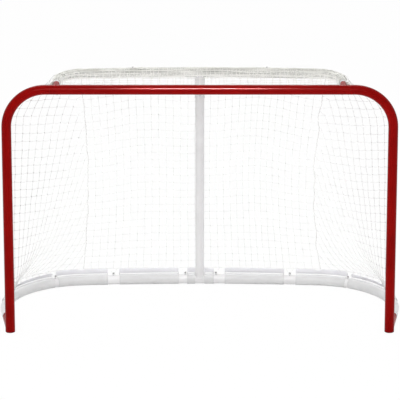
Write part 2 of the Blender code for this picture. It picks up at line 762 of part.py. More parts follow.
def seam_point(side, height_share, shift=0.0):
    """The corner seam, from the base (0) to the shelf (1), drawn in and forward by the net."""
    low = beside(BASE_LINE, side * SEAM_ON_BASE, NET_OFFSET, NET_BASE_Z)
    high = shelf_edge(side, 1.0)
    point = blend(low, high, height_share)
    inward = SEAM_DRAW_IN * math.sin(math.pi * height_share)
    return point - Vector((side * (inward - shift), SEAM_DRAW_FORWARD * seam_pull(height_share), 0))


def shelf_edge(side, share):
    """The net's top edge behind the shelf rail, from the centre (0) to a seam (1)."""
    angle = EDGE_ANGLE * share
    outward, down = EDGE_RADIUS * math.cos(angle), EDGE_RADIUS * math.sin(angle)
    # The middle of the edge passes behind the centre post's socket
    clear = (SOCKET_R + STRAND_R + 2 * FOLD_GAP) / CENTRE_REAR.y
    outward += max(0, 1 - share * REAR_COLUMNS / 2) * max(0, clear - EDGE_RADIUS)
    return beside(TOP_LINE, side * SEAM_ON_SHELF * share, outward, BAR_Z - down)


def make_rear_net():
    def bottom(u):
        return beside(BASE_LINE, (2 * u - 1) * (SEAM_ON_BASE - SEAM_SHIFT), NET_OFFSET, NET_BASE_Z)

    def top(u):
        across = 2 * u - 1
        edge = shelf_edge(1 if across > 0 else -1, abs(across))
        return edge - Vector((across * SEAM_SHIFT, 0, 0))

    def left(v):
        return seam_point(-1, v, -SEAM_SHIFT)

    def right(v):
        return seam_point(1, v, -SEAM_SHIFT)

    sheet = patch(left, right, bottom, top, 0)

    def surface(u, v):
        # Each half hangs slack between a seam and the centre post, which the middle lies against
        slack = REAR_SAG * abs(math.sin(2 * math.pi * u)) * math.sin(math.pi * v)
        slack -= SEAM_DRAW_FORWARD * (1 - abs(2 * u - 1)) * seam_pull(v)
        return sheet(u, v) - Vector((0, slack, 0))

    net("net_rear", surface, REAR_COLUMNS, NET_ROWS)


def make_side_net(side, name):
    inboard = PEG_R + STRAND_R + SEAT_GAP
    behind = FRAME_R + STRAND_R + SEAT_GAP
    shelf_front = TOP_HALF - behind - STRAND

    def shelf(u):
        # In front the edge passes outside the rail's leg, and from the corner on it lies on the roll
        angle = blend(-SIDE_EDGE_LIFT, EDGE_ANGLE, max(0, 2 * u - 1))
        radius = EDGE_RADIUS + SIDE_EDGE_SPARE * min(1, 4 * (1 - u))
        ahead = max(0, 1 - 2 * u)
        outward = blend(radius * math.cos(angle), SIDE_EDGE_OUT, ahead)
        rise = blend(-radius * math.sin(angle), SIDE_EDGE_RISE, ahead)
        point = beside(TOP_LINE, side * blend(shelf_front, SEAM_ON_SHELF, u), outward, BAR_Z + rise)
        return point + Vector((side * SEAM_SHIFT * u, 0, 0))

    def front(v):
        if v >= 1:
            return shelf(0)
        return net_front(side, v, inboard, behind)

    def rear(v):
        return seam_point(side, v, SEAM_SHIFT)

    def bottom(u):
        distance = blend(BASE_HALF - behind, SEAM_ON_BASE + SEAM_SHIFT, u)
        on_base = beside(BASE_LINE, side * distance, NET_OFFSET, NET_BASE_Z)
        return blend(front(0), on_base, min(1, u * SIDE_COLUMNS))

    surface = patch(front, rear, bottom, shelf, SIDE_FADE)
    net("net_side_" + name, surface, SIDE_COLUMNS, NET_ROWS)


def make_roof_net():
    front_y = FRAME_R + STRAND_R + SEAT_GAP
    front_z = BAR_Z + PEG_R + STRAND_R + SEAT_GAP
    reach = TOP_HALF - TOP_STUB_LENGTH - SPIGOT_LENGTH / 4

    def back_y(x):
        """Where the roof's rear edge meets the inside of the roll round the shelf rail."""
        edge = [beside(TOP_LINE, reach * i / 60, -(FOLD_R + STRAND + FOLD_GAP), 0) for i in range(61)]
        for a, b in zip(edge, edge[1:]):
            if a.x <= x < b.x:
                return blend(a.y, b.y, (x - a.x) / (b.x - a.x))
        return edge[-1].y

    def surface(u, v):
        x = (2 * u - 1) * ROOF_NET_HALF
        slack = ROOF_SAG * math.sin(math.pi * v) * math.sin(math.pi * u)
        return Vector((x, blend(front_y, back_y(abs(x)), v), front_z - slack))

    net("net_roof", surface, ROOF_COLUMNS, ROOF_ROWS)


def make_seam(side, name):
    line = [seam_point(side, row / NET_ROWS) for row in range(NET_ROWS + 1)]
    mesh = swept_mesh("seam_cord_" + name, line, SEAM_CORD / 2, SMALL_SIDES, True, "MINIMUM")
    place("seam_cord_" + name, mesh, TWINE)


def make_goal():
    crossbar = make_crossbar()
    make_rear_rail()
    make_top_rail()
    make_centre_post()
    for side, name in ((-1, "left"), (1, "right")):
        make_post(side, name)
        make_foot_cap(side, name)
        make_crossbar_joint(side, name, crossbar)
        make_base_side(side, name)
        make_top_side(side, name)
        make_side_net(side, name)
        make_seam(side, name)
    make_skirts()
    make_fold()
    make_rear_net()
    make_roof_net()


make_goal()
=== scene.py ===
# %% [markdown]
# # Dressing a hockey goal
#
# The imported model is the goal's skeleton: tubes, spigots, bolts and plain stand-ins for the net.
# It is loaded first, in metres, and never moved. Everything made below hangs on it, so a piece
# goes exactly where the solids say.

# %% Load the imported goal
import json
import math

import bmesh
import bpy
from mathutils import Matrix, Vector, noise


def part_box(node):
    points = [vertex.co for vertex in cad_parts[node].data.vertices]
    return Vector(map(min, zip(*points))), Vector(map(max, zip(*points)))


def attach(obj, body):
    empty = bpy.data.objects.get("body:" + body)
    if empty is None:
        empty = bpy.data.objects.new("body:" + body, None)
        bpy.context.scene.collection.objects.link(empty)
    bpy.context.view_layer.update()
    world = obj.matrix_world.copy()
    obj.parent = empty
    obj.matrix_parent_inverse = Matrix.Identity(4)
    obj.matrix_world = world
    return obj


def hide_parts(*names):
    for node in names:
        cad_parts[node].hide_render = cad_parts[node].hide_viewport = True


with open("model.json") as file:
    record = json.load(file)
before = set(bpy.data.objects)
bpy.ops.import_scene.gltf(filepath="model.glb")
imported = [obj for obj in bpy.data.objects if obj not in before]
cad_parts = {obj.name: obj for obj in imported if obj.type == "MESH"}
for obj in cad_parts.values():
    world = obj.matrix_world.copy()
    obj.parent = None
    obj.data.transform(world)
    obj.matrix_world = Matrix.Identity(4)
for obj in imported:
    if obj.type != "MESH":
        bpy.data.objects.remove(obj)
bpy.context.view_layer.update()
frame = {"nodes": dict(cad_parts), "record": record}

NODES = frame["nodes"]
BODY = "root"

# %% [markdown]
# ## Sizes
#
# A goal is built from a handful of sizes: the tubes, where the posts stand and how high the bar
# is. Most are read from the solids' boxes, so the dressing follows the model if it changes.

# %% Sizes read from the solids
foot_low, foot_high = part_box("right_foot_cap")
bar_low, bar_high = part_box("crossbar")
shelf_low, shelf_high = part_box("right_top_stub")
POST_X = (foot_low.x + foot_high.x) / 2
GOAL_LINE = (foot_low.y + foot_high.y) / 2
FRAME_R = (foot_high.x - foot_low.x) / 2
BAR_Z = (bar_low.z + bar_high.z) / 2
SHELF_X = (shelf_low.x + shelf_high.x) / 2
TOP_R = (shelf_high.x - shelf_low.x) / 2
BASE_R = 0.02415
RAIL_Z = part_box("base_rear_rail")[0].z + BASE_R
SIDES = ((-1, "left"), (1, "right"))
print(f"posts at {POST_X:.4f}, goal line {GOAL_LINE:.4f}, bar at {BAR_Z:.4f}, rail at {RAIL_Z:.4f}")

# %% [markdown]
# ## The rails in plan
#
# The base loop and the shelf are both bent tubes: a straight leg, a round corner and a shallow
# bow across the back. Each half is a line, an arc and a larger arc that touch each other. With
# that line known, any place on the rail is a distance from its middle, which is how the netting,
# the skirts and the lacing are set out.

# %% A rail as a line of points
def blend(a, b, share):
    return a + (b - a) * share


def on_circle(centre, radius, degrees):
    angle = math.radians(degrees)
    return Vector((centre[0] + radius * math.cos(angle), centre[1] + radius * math.sin(angle)))


def rail_plan(depth, front_x, flare, corner, steps=28, bow_steps=12):
    """A rail from its left front round the back to its right front, measured from the goal line."""
    front = Vector((front_x, 0))
    leg = Vector((math.sin(flare), math.cos(flare)))
    inward = Vector((-leg.y, leg.x))
    bow_centre = Vector((0, depth - BOW_RADIUS))
    offset = front + inward * corner - bow_centre
    ahead = offset.dot(leg)
    reach = (BOW_RADIUS - corner) ** 2 - offset.length_squared
    centre = front + inward * corner + leg * (math.sqrt(ahead**2 + reach) - ahead)
    to_corner = centre - bow_centre
    bow_end = 90 - math.degrees(math.atan2(to_corner.y, to_corner.x))
    right = [front]
    for i in range(steps + 1):
        turned = blend(-math.degrees(flare), 90 - bow_end, i / steps)
        right.append(on_circle(centre, corner, turned))
    for i in range(1, bow_steps + 1):
        right.append(on_circle(bow_centre, BOW_RADIUS, 90 - bow_end * (1 - i / bow_steps)))
    return [Vector((-p.x, p.y)) for p in right[:-1]] + right[::-1]


# %% Distances along a rail
def length_of(line):
    return sum((b - a).length for a, b in zip(line, line[1:]))


def along(line, distance):
    """The point and heading at a distance from the line's middle, positive to the right."""
    left = distance + length_of(line) / 2
    for a, b in zip(line, line[1:]):
        step = (b - a).length
        if left <= step:
            return a + (b - a) * (left / step), (b - a) / step
        left -= step
    return line[-1].copy(), (line[-1] - line[-2]).normalized()


def beside(line, distance, outward, height):
    """A point beside a rail, moved away from the goal's inside, at a height above the floor."""
    point, heading = along(line, distance)
    return Vector((point.x - heading.y * outward, point.y + heading.x * outward, height))


def run_of(line, start, end, height, step=0.012):
    """The rail between two distances, as closely spaced points at one height."""
    count = max(2, round(abs(end - start) / step))
    return [beside(line, blend(start, end, i / count), 0, height) for i in range(count + 1)]


# %% The lines of the base loop and the shelf
BOW_RADIUS = 7.0
BASE_DEPTH, BASE_FLARE, BASE_CORNER = 0.720, math.radians(8.95), 0.400
TOP_DEPTH, TOP_CORNER = 0.318, 0.130
BASE_LINE = rail_plan(BASE_DEPTH, POST_X, BASE_FLARE, BASE_CORNER)
TOP_LINE = rail_plan(TOP_DEPTH, SHELF_X, 0, TOP_CORNER)
BASE_HALF = length_of(BASE_LINE) / 2
TOP_HALF = length_of(TOP_LINE) / 2
print(f"base loop {BASE_HALF * 2:.3f} m of tube, shelf {TOP_HALF * 2:.3f} m")

# %% [markdown]
# ## Making finishes
#
# Every finish starts from one shader, and noise in the object's own space gives it life: a slow
# drift of colour, a change of gloss, and a fine bump. Values that are the same all over are set
# straight on the shader. Noise in object space needs no unwrapping, and its grain has a real
# size, so one finish suits a long tube and a small cap alike.

# %% Nodes and wires
def new_node(owner, kind, values=None, **settings):
    """Adds a node to a material or the world, with its own settings and its sockets' values."""
    node = owner.node_tree.nodes.new(kind)
    for name, value in settings.items():
        setattr(node, name, value)
    for name, value in (values or {}).items():
        node.inputs[name].default_value = value
    return node


def wire(owner, source, target):
    owner.node_tree.links.new(source, target)


def socket(made, name):
    return made.node_tree.nodes["Principled BSDF"].inputs[name]


# %% A finish and its grain
def finish(name, roughness, metallic=0.0, specular=0.5, sheen=0.0):
    made = bpy.data.materials.new(name)
    made.use_nodes = True
    socket(made, "Roughness").default_value = roughness
    socket(made, "Metallic").default_value = metallic
    socket(made, "Specular IOR Level").default_value = specular
    socket(made, "Sheen Weight").default_value = sheen
    return made


def grain(made, scale, detail=3.0, stretch=(1, 1, 1)):
    """A noise of that many lumps to a metre, in the object's own space."""
    place = new_node(made, "ShaderNodeTexCoord")
    sizing = new_node(made, "ShaderNodeMapping", {"Scale": stretch})
    lumps = new_node(made, "ShaderNodeTexNoise", {"Scale": scale, "Detail": detail})
    wire(made, place.outputs["Object"], sizing.inputs["Vector"])
    wire(made, sizing.outputs["Vector"], lumps.inputs["Vector"])
    return lumps.outputs["Fac"]


def ramp(made, source, low, high, first, last):
    """Turns a noise into colours between two places on it."""
    colours = new_node(made, "ShaderNodeValToRGB")
    low_stop, high_stop = colours.color_ramp.elements
    low_stop.position, high_stop.position = low, high
    low_stop.color, high_stop.color = (*first, 1), (*last, 1)
    wire(made, source, colours.inputs["Fac"])
    return colours.outputs["Color"]


# %% Colour, gloss and bump from a grain
def tint(made, source, low, high, first, last):
    wire(made, ramp(made, source, low, high, first, last), socket(made, "Base Color"))


def along_axis(made, axis, start, end, first, last):
    """Changes from one colour to another between two places on an axis of the goal."""
    place = new_node(made, "ShaderNodeTexCoord")
    split = new_node(made, "ShaderNodeSeparateXYZ")
    reach = new_node(made, "ShaderNodeMapRange", {"From Min": start, "From Max": end})
    mix = new_node(made, "ShaderNodeMix", data_type="RGBA")
    wire(made, place.outputs["Object"], split.inputs["Vector"])
    wire(made, split.outputs[axis], reach.inputs["Value"])
    wire(made, reach.outputs["Result"], mix.inputs["Factor"])
    wire(made, first, mix.inputs["A"])
    wire(made, last, mix.inputs["B"])
    wire(made, mix.outputs["Result"], socket(made, "Base Color"))


def vary_gloss(made, source, least, most):
    spread = new_node(made, "ShaderNodeMapRange", {"To Min": least, "To Max": most})
    wire(made, source, spread.inputs["Value"])
    wire(made, spread.outputs["Result"], socket(made, "Roughness"))


def emboss(made, source, depth, strength):
    """Raises a bump of a real depth in metres."""
    bump = new_node(made, "ShaderNodeBump", {"Distance": depth, "Strength": strength})
    wire(made, source, bump.inputs["Height"])
    wire(made, bump.outputs["Normal"], socket(made, "Normal"))


# %% [markdown]
# ## Enamel, zinc and plastic
#
# The frame is powder coated: deep red in front, white behind. Such a coat pools and thins a
# little, and has the fine ripple called orange peel. The red lies under a tinted clear layer, so
# its highlights are reddish too. The white is painted greyer higher up, a painted shade. The
# joints' inner tubes and the bolts are zinc plated, which is spangled and duller. The foot caps
# are moulded plastic.

# %% Frame finishes
red_enamel = finish("red_enamel", 0.14, specular=0.07)
socket(red_enamel, "Specular Tint").default_value = (1, 0.38, 0.36, 1)
drift = grain(red_enamel, 7)
tint(red_enamel, drift, 0.35, 0.65, (0.205, 0.0016, 0.0015), (0.245, 0.0024, 0.0021))
vary_gloss(red_enamel, grain(red_enamel, 60), 0.13, 0.17)
emboss(red_enamel, grain(red_enamel, 420, 1.0), 0.0002, 0.008)

white_enamel = finish("white_enamel", 0.42, specular=0.10)
drift = grain(white_enamel, 9)
low_paint = ramp(white_enamel, drift, 0.35, 0.65, (0.755, 0.75, 0.755), (0.80, 0.795, 0.80))
# The upper colour is darker: a painted shade for the tubes higher up.
high_paint_shade = ramp(white_enamel, drift, 0.35, 0.65, (0.655, 0.65, 0.655), (0.70, 0.695, 0.70))
along_axis(white_enamel, "Z", RAIL_Z, BAR_Z, low_paint, high_paint_shade)
vary_gloss(white_enamel, grain(white_enamel, 60), 0.38, 0.48)
emboss(white_enamel, grain(white_enamel, 420, 1.0), 0.0002, 0.05)
print("enamels:", red_enamel.name, white_enamel.name)

# %% Joint and foot finishes
zinc_plate = finish("zinc_plate", 0.40, metallic=1.0)
spangle = grain(zinc_plate, 260)
tint(zinc_plate, spangle, 0.35, 0.70, (0.46, 0.47, 0.48), (0.66, 0.66, 0.65))
vary_gloss(zinc_plate, grain(zinc_plate, 120), 0.30, 0.50)
emboss(zinc_plate, grain(zinc_plate, 700), 0.0002, 0.15)

peg_steel = finish("peg_steel", 0.45, metallic=1.0)
spangle = grain(peg_steel, 300)
tint(peg_steel, spangle, 0.35, 0.70, (0.28, 0.28, 0.285), (0.45, 0.45, 0.45))
emboss(peg_steel, grain(peg_steel, 800), 0.0002, 0.15)

foot_plastic = finish("foot_plastic", 0.55, specular=0.35)
scuff = grain(foot_plastic, 90)
tint(foot_plastic, scuff, 0.35, 0.65, (0.085, 0.005, 0.006), (0.125, 0.007, 0.008))
vary_gloss(foot_plastic, grain(foot_plastic, 200), 0.48, 0.66)
emboss(foot_plastic, grain(foot_plastic, 900), 0.0003, 0.2)
print("joint and foot finishes:", zinc_plate.name, peg_steel.name, foot_plastic.name)

# %% [markdown]
# ## Twine and vinyl
#
# The netting is braided nylon: matt and a little fuzzy, darker towards the goal line, and where
# it is gathered, darker and warmer towards the top. The skirt is a coated cloth, smooth with a
# faint weave under its skin. Its flap is painted lighter and cool, a painted light against its
# shade, and where it wraps the tube it is painted greyer, a painted shade.

# %% Twine finishes
twine = finish("twine", 0.85, specular=0.25, sheen=0.1)
fibre = grain(twine, 240)
lighter_rear_twine = ramp(twine, fibre, 0.30, 0.70, (0.85, 0.848, 0.842), (0.93, 0.928, 0.923))
darker_front_twine = ramp(twine, fibre, 0.30, 0.70, (0.50, 0.497, 0.49), (0.66, 0.657, 0.65))
# Darker towards the goal line.
along_axis(twine, "Y", GOAL_LINE, GOAL_LINE + 0.40, darker_front_twine, lighter_rear_twine)
emboss(twine, grain(twine, 1600, 2.0), 0.0004, 0.45)

seam_twine = finish("seam_twine", 0.85, specular=0.25, sheen=0.1)
fibre = grain(seam_twine, 240)
tint(seam_twine, fibre, 0.30, 0.70, (0.70, 0.695, 0.685), (0.86, 0.855, 0.845))
emboss(seam_twine, grain(seam_twine, 1400, 2.0), 0.0005, 0.5)
print("twines:", twine.name, seam_twine.name)

# %% Finishes of the gathered twine
gathered_twine = finish("gathered_twine", 0.90, specular=0.2, sheen=0.1)
streaks = grain(gathered_twine, 45, 5.0, (0.25, 1, 1))
under_side = ramp(gathered_twine, streaks, 0.30, 0.72, (0.84, 0.84, 0.81), (0.96, 0.955, 0.935))
upper_side = ramp(gathered_twine, streaks, 0.30, 0.72, (0.62, 0.62, 0.58), (0.88, 0.88, 0.845))
# Darker and warmer towards the top.
along_axis(gathered_twine, "Z", BAR_Z - 0.020, BAR_Z + 0.022, under_side, upper_side)
emboss(gathered_twine, grain(gathered_twine, 700, 3.0), 0.0012, 0.6)

# The roll sleeve is painted darker than the twine, with dark streaks: painted shade of the folds
# inside the gathered netting.
roll_shade_twine = finish("roll_shade_twine", 0.92, specular=0.15)
streaks = grain(roll_shade_twine, 60, 5.0, (0.12, 1, 1))
tint(roll_shade_twine, streaks, 0.32, 0.70, (0.32, 0.32, 0.30), (0.74, 0.735, 0.71))
emboss(roll_shade_twine, grain(roll_shade_twine, 700, 3.0), 0.0012, 0.6)
print("gathered twines:", gathered_twine.name, roll_shade_twine.name)

# %% Skirt finishes
vinyl = finish("vinyl", 0.55, specular=0.10)
drift = grain(vinyl, 14, 4.0)
# The flap is painted lighter and cooler, a painted light against its shade; the wrap is painted
# greyer, a painted shade.
flap_painted_light = ramp(vinyl, drift, 0.30, 0.70, (0.875, 0.87, 0.905), (0.925, 0.922, 0.95))
wrap_painted_shade = ramp(vinyl, drift, 0.30, 0.70, (0.64, 0.64, 0.642), (0.69, 0.69, 0.692))
tube_top = RAIL_Z + BASE_R
along_axis(vinyl, "Z", tube_top - 0.002, tube_top + 0.008, wrap_painted_shade, flap_painted_light)
vary_gloss(vinyl, grain(vinyl, 50), 0.50, 0.62)
emboss(vinyl, grain(vinyl, 900, 2.0), 0.0003, 0.25)

# Near white: a painted highlight along the groove between flap and tube.
welt_highlight = finish("welt_highlight", 0.70, specular=0.25)
fibre = grain(welt_highlight, 200)
tint(welt_highlight, fibre, 0.30, 0.70, (0.95, 0.95, 0.95), (0.98, 0.98, 0.98))
emboss(welt_highlight, grain(welt_highlight, 1500, 2.0), 0.0004, 0.35)
print("skirt finishes:", vinyl.name, welt_highlight.name)

# %% [markdown]
# ## Finishes on the carried solids
#
# The stubs, the foot caps, the centre post and all the hidden joint parts already have the right
# shape. They stay as they are and only change their paint. Each solid names the finish that it
# wants, so one loop over the list paints them all, which is safer than picking them by hand.

# %% Paint the solids
SLOT_FINISH = {
    "red_enamel": red_enamel,
    "white_enamel": white_enamel,
    "zinc_plate": zinc_plate,
    "foot_cap": foot_plastic,
    "twine": twine,
    "vinyl": vinyl,
}
for subpart in frame["record"]["subparts"]:
    for place in NODES[subpart["node"]].material_slots:
        place.material = SLOT_FINISH[subpart["material_slot"]]

# %% [markdown]
# ## Tubes
#
# The solids' bends have flat facets, which show on a glossy tube. So the bent tubes are made
# again with fine steps. A tube could be a mesh extruded ring by ring, but a curve with a round
# bevel needs only its centre line and a radius, and keeps its roundness through every bend.

# %% Pieces in the scene
SHARP_EDGE = math.radians(50)


def from_goal_line(point):
    """Lines are set out from the goal line. This moves a point of one to its place in the scene."""
    return Vector((point.x, point.y + GOAL_LINE, point.z))


def as_piece(name, mesh, sharp_edge=None):
    """Puts a mesh in the scene, shaded smooth except at edges over an angle."""
    mesh.shade_smooth()
    if sharp_edge:
        mesh.set_sharp_from_angle(angle=sharp_edge)
    piece = bpy.data.objects.new(name, mesh)
    bpy.context.scene.collection.objects.link(piece)
    return piece


def keep(piece, slot_name, made, *replaced):
    """Hangs a finished piece on the goal and hides the solids that it stands in for."""
    piece.data.materials.clear()
    piece.data.materials.append(made)
    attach(piece, BODY)
    if replaced:
        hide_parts(*replaced)
    return piece


# %% A curve with a round section, turned into a mesh
TAUT_WIDTH = 0.80


def swept(name, runs, radius, sides=16, loops=(), taut=()):
    """One mesh of round strands: open runs, closed loops, and taut runs that are thinner."""
    curve = bpy.data.curves.new(name, "CURVE")
    curve.dimensions = "3D"
    curve.twist_mode = "MINIMUM"
    curve.bevel_depth = radius
    curve.bevel_resolution = (sides - 4) // 2
    curve.use_fill_caps = True
    for lines, closed, width in (runs, False, 1.0), (taut, False, TAUT_WIDTH), (loops, True, 1.0):
        for points in lines:
            spline = curve.splines.new("POLY")
            spline.use_cyclic_u = closed
            spline.points.add(len(points) - 1)
            for knot, point in zip(spline.points, points):
                knot.co = (*from_goal_line(point), 1)
                knot.radius = width
    source = bpy.data.objects.new(name + "_line", curve)
    bpy.context.scene.collection.objects.link(source)
    graph = bpy.context.evaluated_depsgraph_get()
    mesh = bpy.data.meshes.new_from_object(source.evaluated_get(graph))
    bpy.data.objects.remove(source)
    return as_piece(name, mesh, SHARP_EDGE)


# %% [markdown]
# ## Net pegs
#
# The net hooks on short headed pegs welded to the tubes. Each is a turned shape, so its profile
# is spun about an axis. They are made once and copied to every place.

# %% Pegs in one mesh
PEG_PROFILE = (
    (0.0038, -0.001),
    (0.0038, 0.010),
    (0.0048, 0.0108),
    (0.0058, 0.0112),
    (0.0058, 0.0128),
    (0.0046, 0.0136),
    (0, 0.0138),
)
UP, BACK = Vector((0, 0, 1)), Vector((0, 1, 0))


def mesh_from(name, shape):
    """A mesh from a worked-out shape, which is let go."""
    mesh = bpy.data.meshes.new(name)
    shape.to_mesh(mesh)
    shape.free()
    return mesh


def pegs(name, places):
    """Turned pegs: each place is a point on a tube and the direction that the peg points in."""
    shape = bmesh.new()
    for point, outward in places:
        turn = outward.to_track_quat("Z", "Y").to_matrix().to_4x4()
        at = Matrix.Translation(from_goal_line(point)) @ turn
        rim = [shape.verts.new(at @ Vector((radius, 0, height))) for radius, height in PEG_PROFILE]
        spokes = [shape.edges.new(pair) for pair in zip(rim, rim[1:])]
        bmesh.ops.spin(
            shape,
            geom=rim + spokes,
            cent=at.translation,
            axis=at.to_3x3() @ UP,
            angle=2 * math.pi,
            steps=14,
            use_merge=True,
        )
    bmesh.ops.remove_doubles(shape, verts=shape.verts, dist=1e-6)
    bmesh.ops.recalc_face_normals(shape, faces=shape.faces)
    return as_piece(name, mesh_from(name, shape), SHARP_EDGE)


# %% [markdown]
# ## Posts and crossbar
#
# Each post rises from its cap, bends over and ends at the joint with the crossbar. The bend is
# an arc of fine steps between two straights. The crossbar itself is the straight length between
# the two joints.

# %% Posts with smooth bends
BEND_RADIUS = 0.190
POST_TAIL = 0.0236
POST_FOOT = 0.0033
JOINT_GAP = 0.0003
BAR_HALF = POST_X - BEND_RADIUS - POST_TAIL


def frame_corner(side, degrees, inward=0.0, behind=0.0):
    """A place on a post's bend, which starts at 0 degrees and reaches the bar's height at 90."""
    angle = math.radians(degrees)
    radius = BEND_RADIUS - inward
    x = POST_X - BEND_RADIUS + radius * math.cos(angle)
    return Vector((side * x, behind, BAR_Z - BEND_RADIUS + radius * math.sin(angle)))


for side, name in SIDES:
    line = [Vector((side * POST_X, 0, POST_FOOT + 0.05 * i)) for i in range(21)]
    line += [frame_corner(side, 90 * i / 24) for i in range(25)]
    line.append(Vector((side * (BAR_HALF + JOINT_GAP / 2), 0, BAR_Z)))
    post = swept(f"{name}_post_tube", [line], FRAME_R, 40)
    keep(post, "red_enamel", red_enamel, f"{name}_post")
    print(post.name, len(post.data.polygons), "faces")

# %% Crossbar
bar_line = [Vector((BAR_HALF * i / 20, 0, BAR_Z)) for i in range(-20, 21)]
bar = keep(swept("crossbar_tube", [bar_line], FRAME_R, 48), "red_enamel", red_enamel, "crossbar")
print(bar.name, f"{BAR_HALF * 2:.3f} m")

# %% [markdown]
# ## The base loop and the shelf tube
#
# Three white tubes make the loop behind the posts, joined by hidden spigots. Each is the same
# rail line between two distances, with a hair's gap at each joint as on the real frame. One
# helper gives the points between two distances, so it serves the shelf's tube as well.

# %% Base rails
BASE_STUB = 0.150
REAR_RAIL_HALF = 0.620
corner_start, corner_end = REAR_RAIL_HALF + JOINT_GAP, BASE_HALF - BASE_STUB - JOINT_GAP
rear_end = REAR_RAIL_HALF - JOINT_GAP / 2
for name, node, start, end in (
    ("left_base_tube", "left_base_rail", -corner_end, -corner_start),
    ("rear_base_tube", "base_rear_rail", -rear_end, rear_end),
    ("right_base_tube", "right_base_rail", corner_start, corner_end),
):
    tube = swept(name, [run_of(BASE_LINE, start, end, RAIL_Z)], BASE_R, 40)
    keep(tube, "white_enamel", white_enamel, node)
    print(tube.name, f"{end - start:.3f} m")

# %% Shelf tube
TOP_STUB = 0.100
shelf_end = TOP_HALF - TOP_STUB - JOINT_GAP
shelf = swept("shelf_tube", [run_of(TOP_LINE, -shelf_end, shelf_end, BAR_Z)], TOP_R, 32)
keep(shelf, "white_enamel", white_enamel, "top_rail")
print(shelf.name, f"{shelf_end * 2:.3f} m")

# %% [markdown]
# ## The net's outline
#
# A goal net is four panels laced together: one behind, one on each side and a roof. Where each
# edge runs decides how the whole net hangs, so the edges come first. In front a side panel hooks
# behind its post and follows the bend. At the back two seams climb from the base to the shelf,
# drawn in by the pull of the net.

# %% Front edges
FLAP_TOP = RAIL_Z + 0.02575 + 0.026
CORD_ROOM = 0.0023
NET_Z = FLAP_TOP + CORD_ROOM
BEHIND = FRAME_R + CORD_ROOM
HOOK_INWARD = 0.006
HOOKED_BEND = math.radians(84)


def front_edge(side, share):
    """The side panel's front edge, a share of the way up the post and round its bend."""
    straight = BAR_Z - BEND_RADIUS - NET_Z
    run = share * (straight + HOOKED_BEND * BEND_RADIUS)
    if run < straight:
        return Vector((side * (POST_X - HOOK_INWARD), BEHIND, NET_Z + run))
    return frame_corner(side, math.degrees((run - straight) / BEND_RADIUS), HOOK_INWARD, BEHIND)


print(f"the net starts {NET_Z:.4f} m up, and hooks on {BEHIND:.4f} m behind the goal line")

# %% Seams
# For each side: where the seam stands on the base and on the shelf, and its pull inward
SEAMS = {-1: (0.600, 0.585, 0.034), 1: (0.622, 0.618, 0.049)}
SEAM_FORWARD = 0.050
NET_OFFSET = 0.02515
EDGE_RADIUS = 0.0278
EDGE_ANGLE = math.radians(47)


def shelf_edge(side, share):
    """The rear panel's top edge on the shelf, from the centre (0) to a seam (1)."""
    angle = EDGE_ANGLE * share
    outward, down = EDGE_RADIUS * math.cos(angle), EDGE_RADIUS * math.sin(angle)
    return beside(TOP_LINE, side * SEAMS[side][1] * share, outward, BAR_Z - down)


def forward_pull(share):
    """How far the net draws its seams forward, strongest a little below the middle."""
    return SEAM_FORWARD * math.sin(math.pi * share**0.8)


def seam_edge(side, share):
    """A corner seam, from the base (0) to the shelf (1)."""
    low = beside(BASE_LINE, side * SEAMS[side][0], NET_OFFSET, NET_Z)
    point = blend(low, shelf_edge(side, 1.0), share)
    inward = SEAMS[side][2] * math.sin(math.pi * share)
    return point - Vector((side * inward, forward_pull(share), 0))


# %% The lacing's jogs along a seam
SEAM_JOG = {-1: 0.009, 1: 0.019}


def laced_point(side, share):
    """A point of the lacing, which catches a mesh of each panel in turn and so runs in jogs."""
    wave = noise.noise(Vector((side * 3.0, share * 15.0, 0.5)))
    jog = wave * SEAM_JOG[side] * math.sin(math.pi * share) ** 0.5
    return seam_edge(side, share) + Vector((jog, 0, 0))


for side, name in SIDES:
    print(name, f"seam {length_of([laced_point(side, i / 20) for i in range(21)]):.3f} m")

# %% [markdown]
# ## A surface between four edges
#
# Netting under tension spans its edges like a soap film: each row is nearly straight from one
# side to the other, and the curve of the base or the shelf dies out within a few rows. So a row
# is a straight blend between the side edges, plus what is left at its height of the bottom
# edge's own curve and of the top edge's.

# %% Stretched surface
def stretched(front, rear, bottom, top, fade):
    """u runs from the front edge to the rear one, v from the bottom edge to the top one."""

    def surface(u, v):
        bottom_curve = bottom(u) - blend(front(0), rear(0), u)
        top_curve = top(u) - blend(front(1), rear(1), u)
        low, high = (1 - v) * math.exp(-fade * v), v * math.exp(-fade * (1 - v))
        return blend(front(v), rear(v), u) + bottom_curve * low + top_curve * high

    return surface


# %% Surface of a side panel
ROLL_SHOULDER = math.radians(-35)
LEG_OUT, LEG_UP = 0.042, 0.008
ROW_LIFT = 0.128
SIDE_FADE = 7.0


def side_surface(side):
    first, last = TOP_HALF - BEHIND - 0.004, SEAMS[side][1]

    def top(u):
        # The edge passes outside the leg and over the roll's shoulder, then dives to the seam
        angle = blend(ROLL_SHOULDER, EDGE_ANGLE, max(0, 2 * u - 1) ** 1.5)
        radius = EDGE_RADIUS - 0.001
        ahead = max(0, 1 - 2 * u)
        outward = blend(radius * math.cos(angle), LEG_OUT, ahead)
        rise = blend(-radius * math.sin(angle), LEG_UP, ahead)
        return beside(TOP_LINE, side * blend(first, last, u), outward, BAR_Z + rise)

    def bottom(u):
        distance = blend(BASE_HALF - BEHIND, SEAMS[side][0], u)
        on_base = beside(BASE_LINE, side * distance, NET_OFFSET, NET_Z)
        return blend(front_edge(side, 0), on_base, min(1, u * 2))

    def front(v):
        # The rows hook on a little higher at the post than they are laced at the seam
        lift = ROW_LIFT * math.sin(math.pi * v) * (1 - v) ** 2
        return top(0) if v >= 1 else front_edge(side, v + lift)

    return stretched(front, lambda v: seam_edge(side, v), bottom, top, SIDE_FADE)


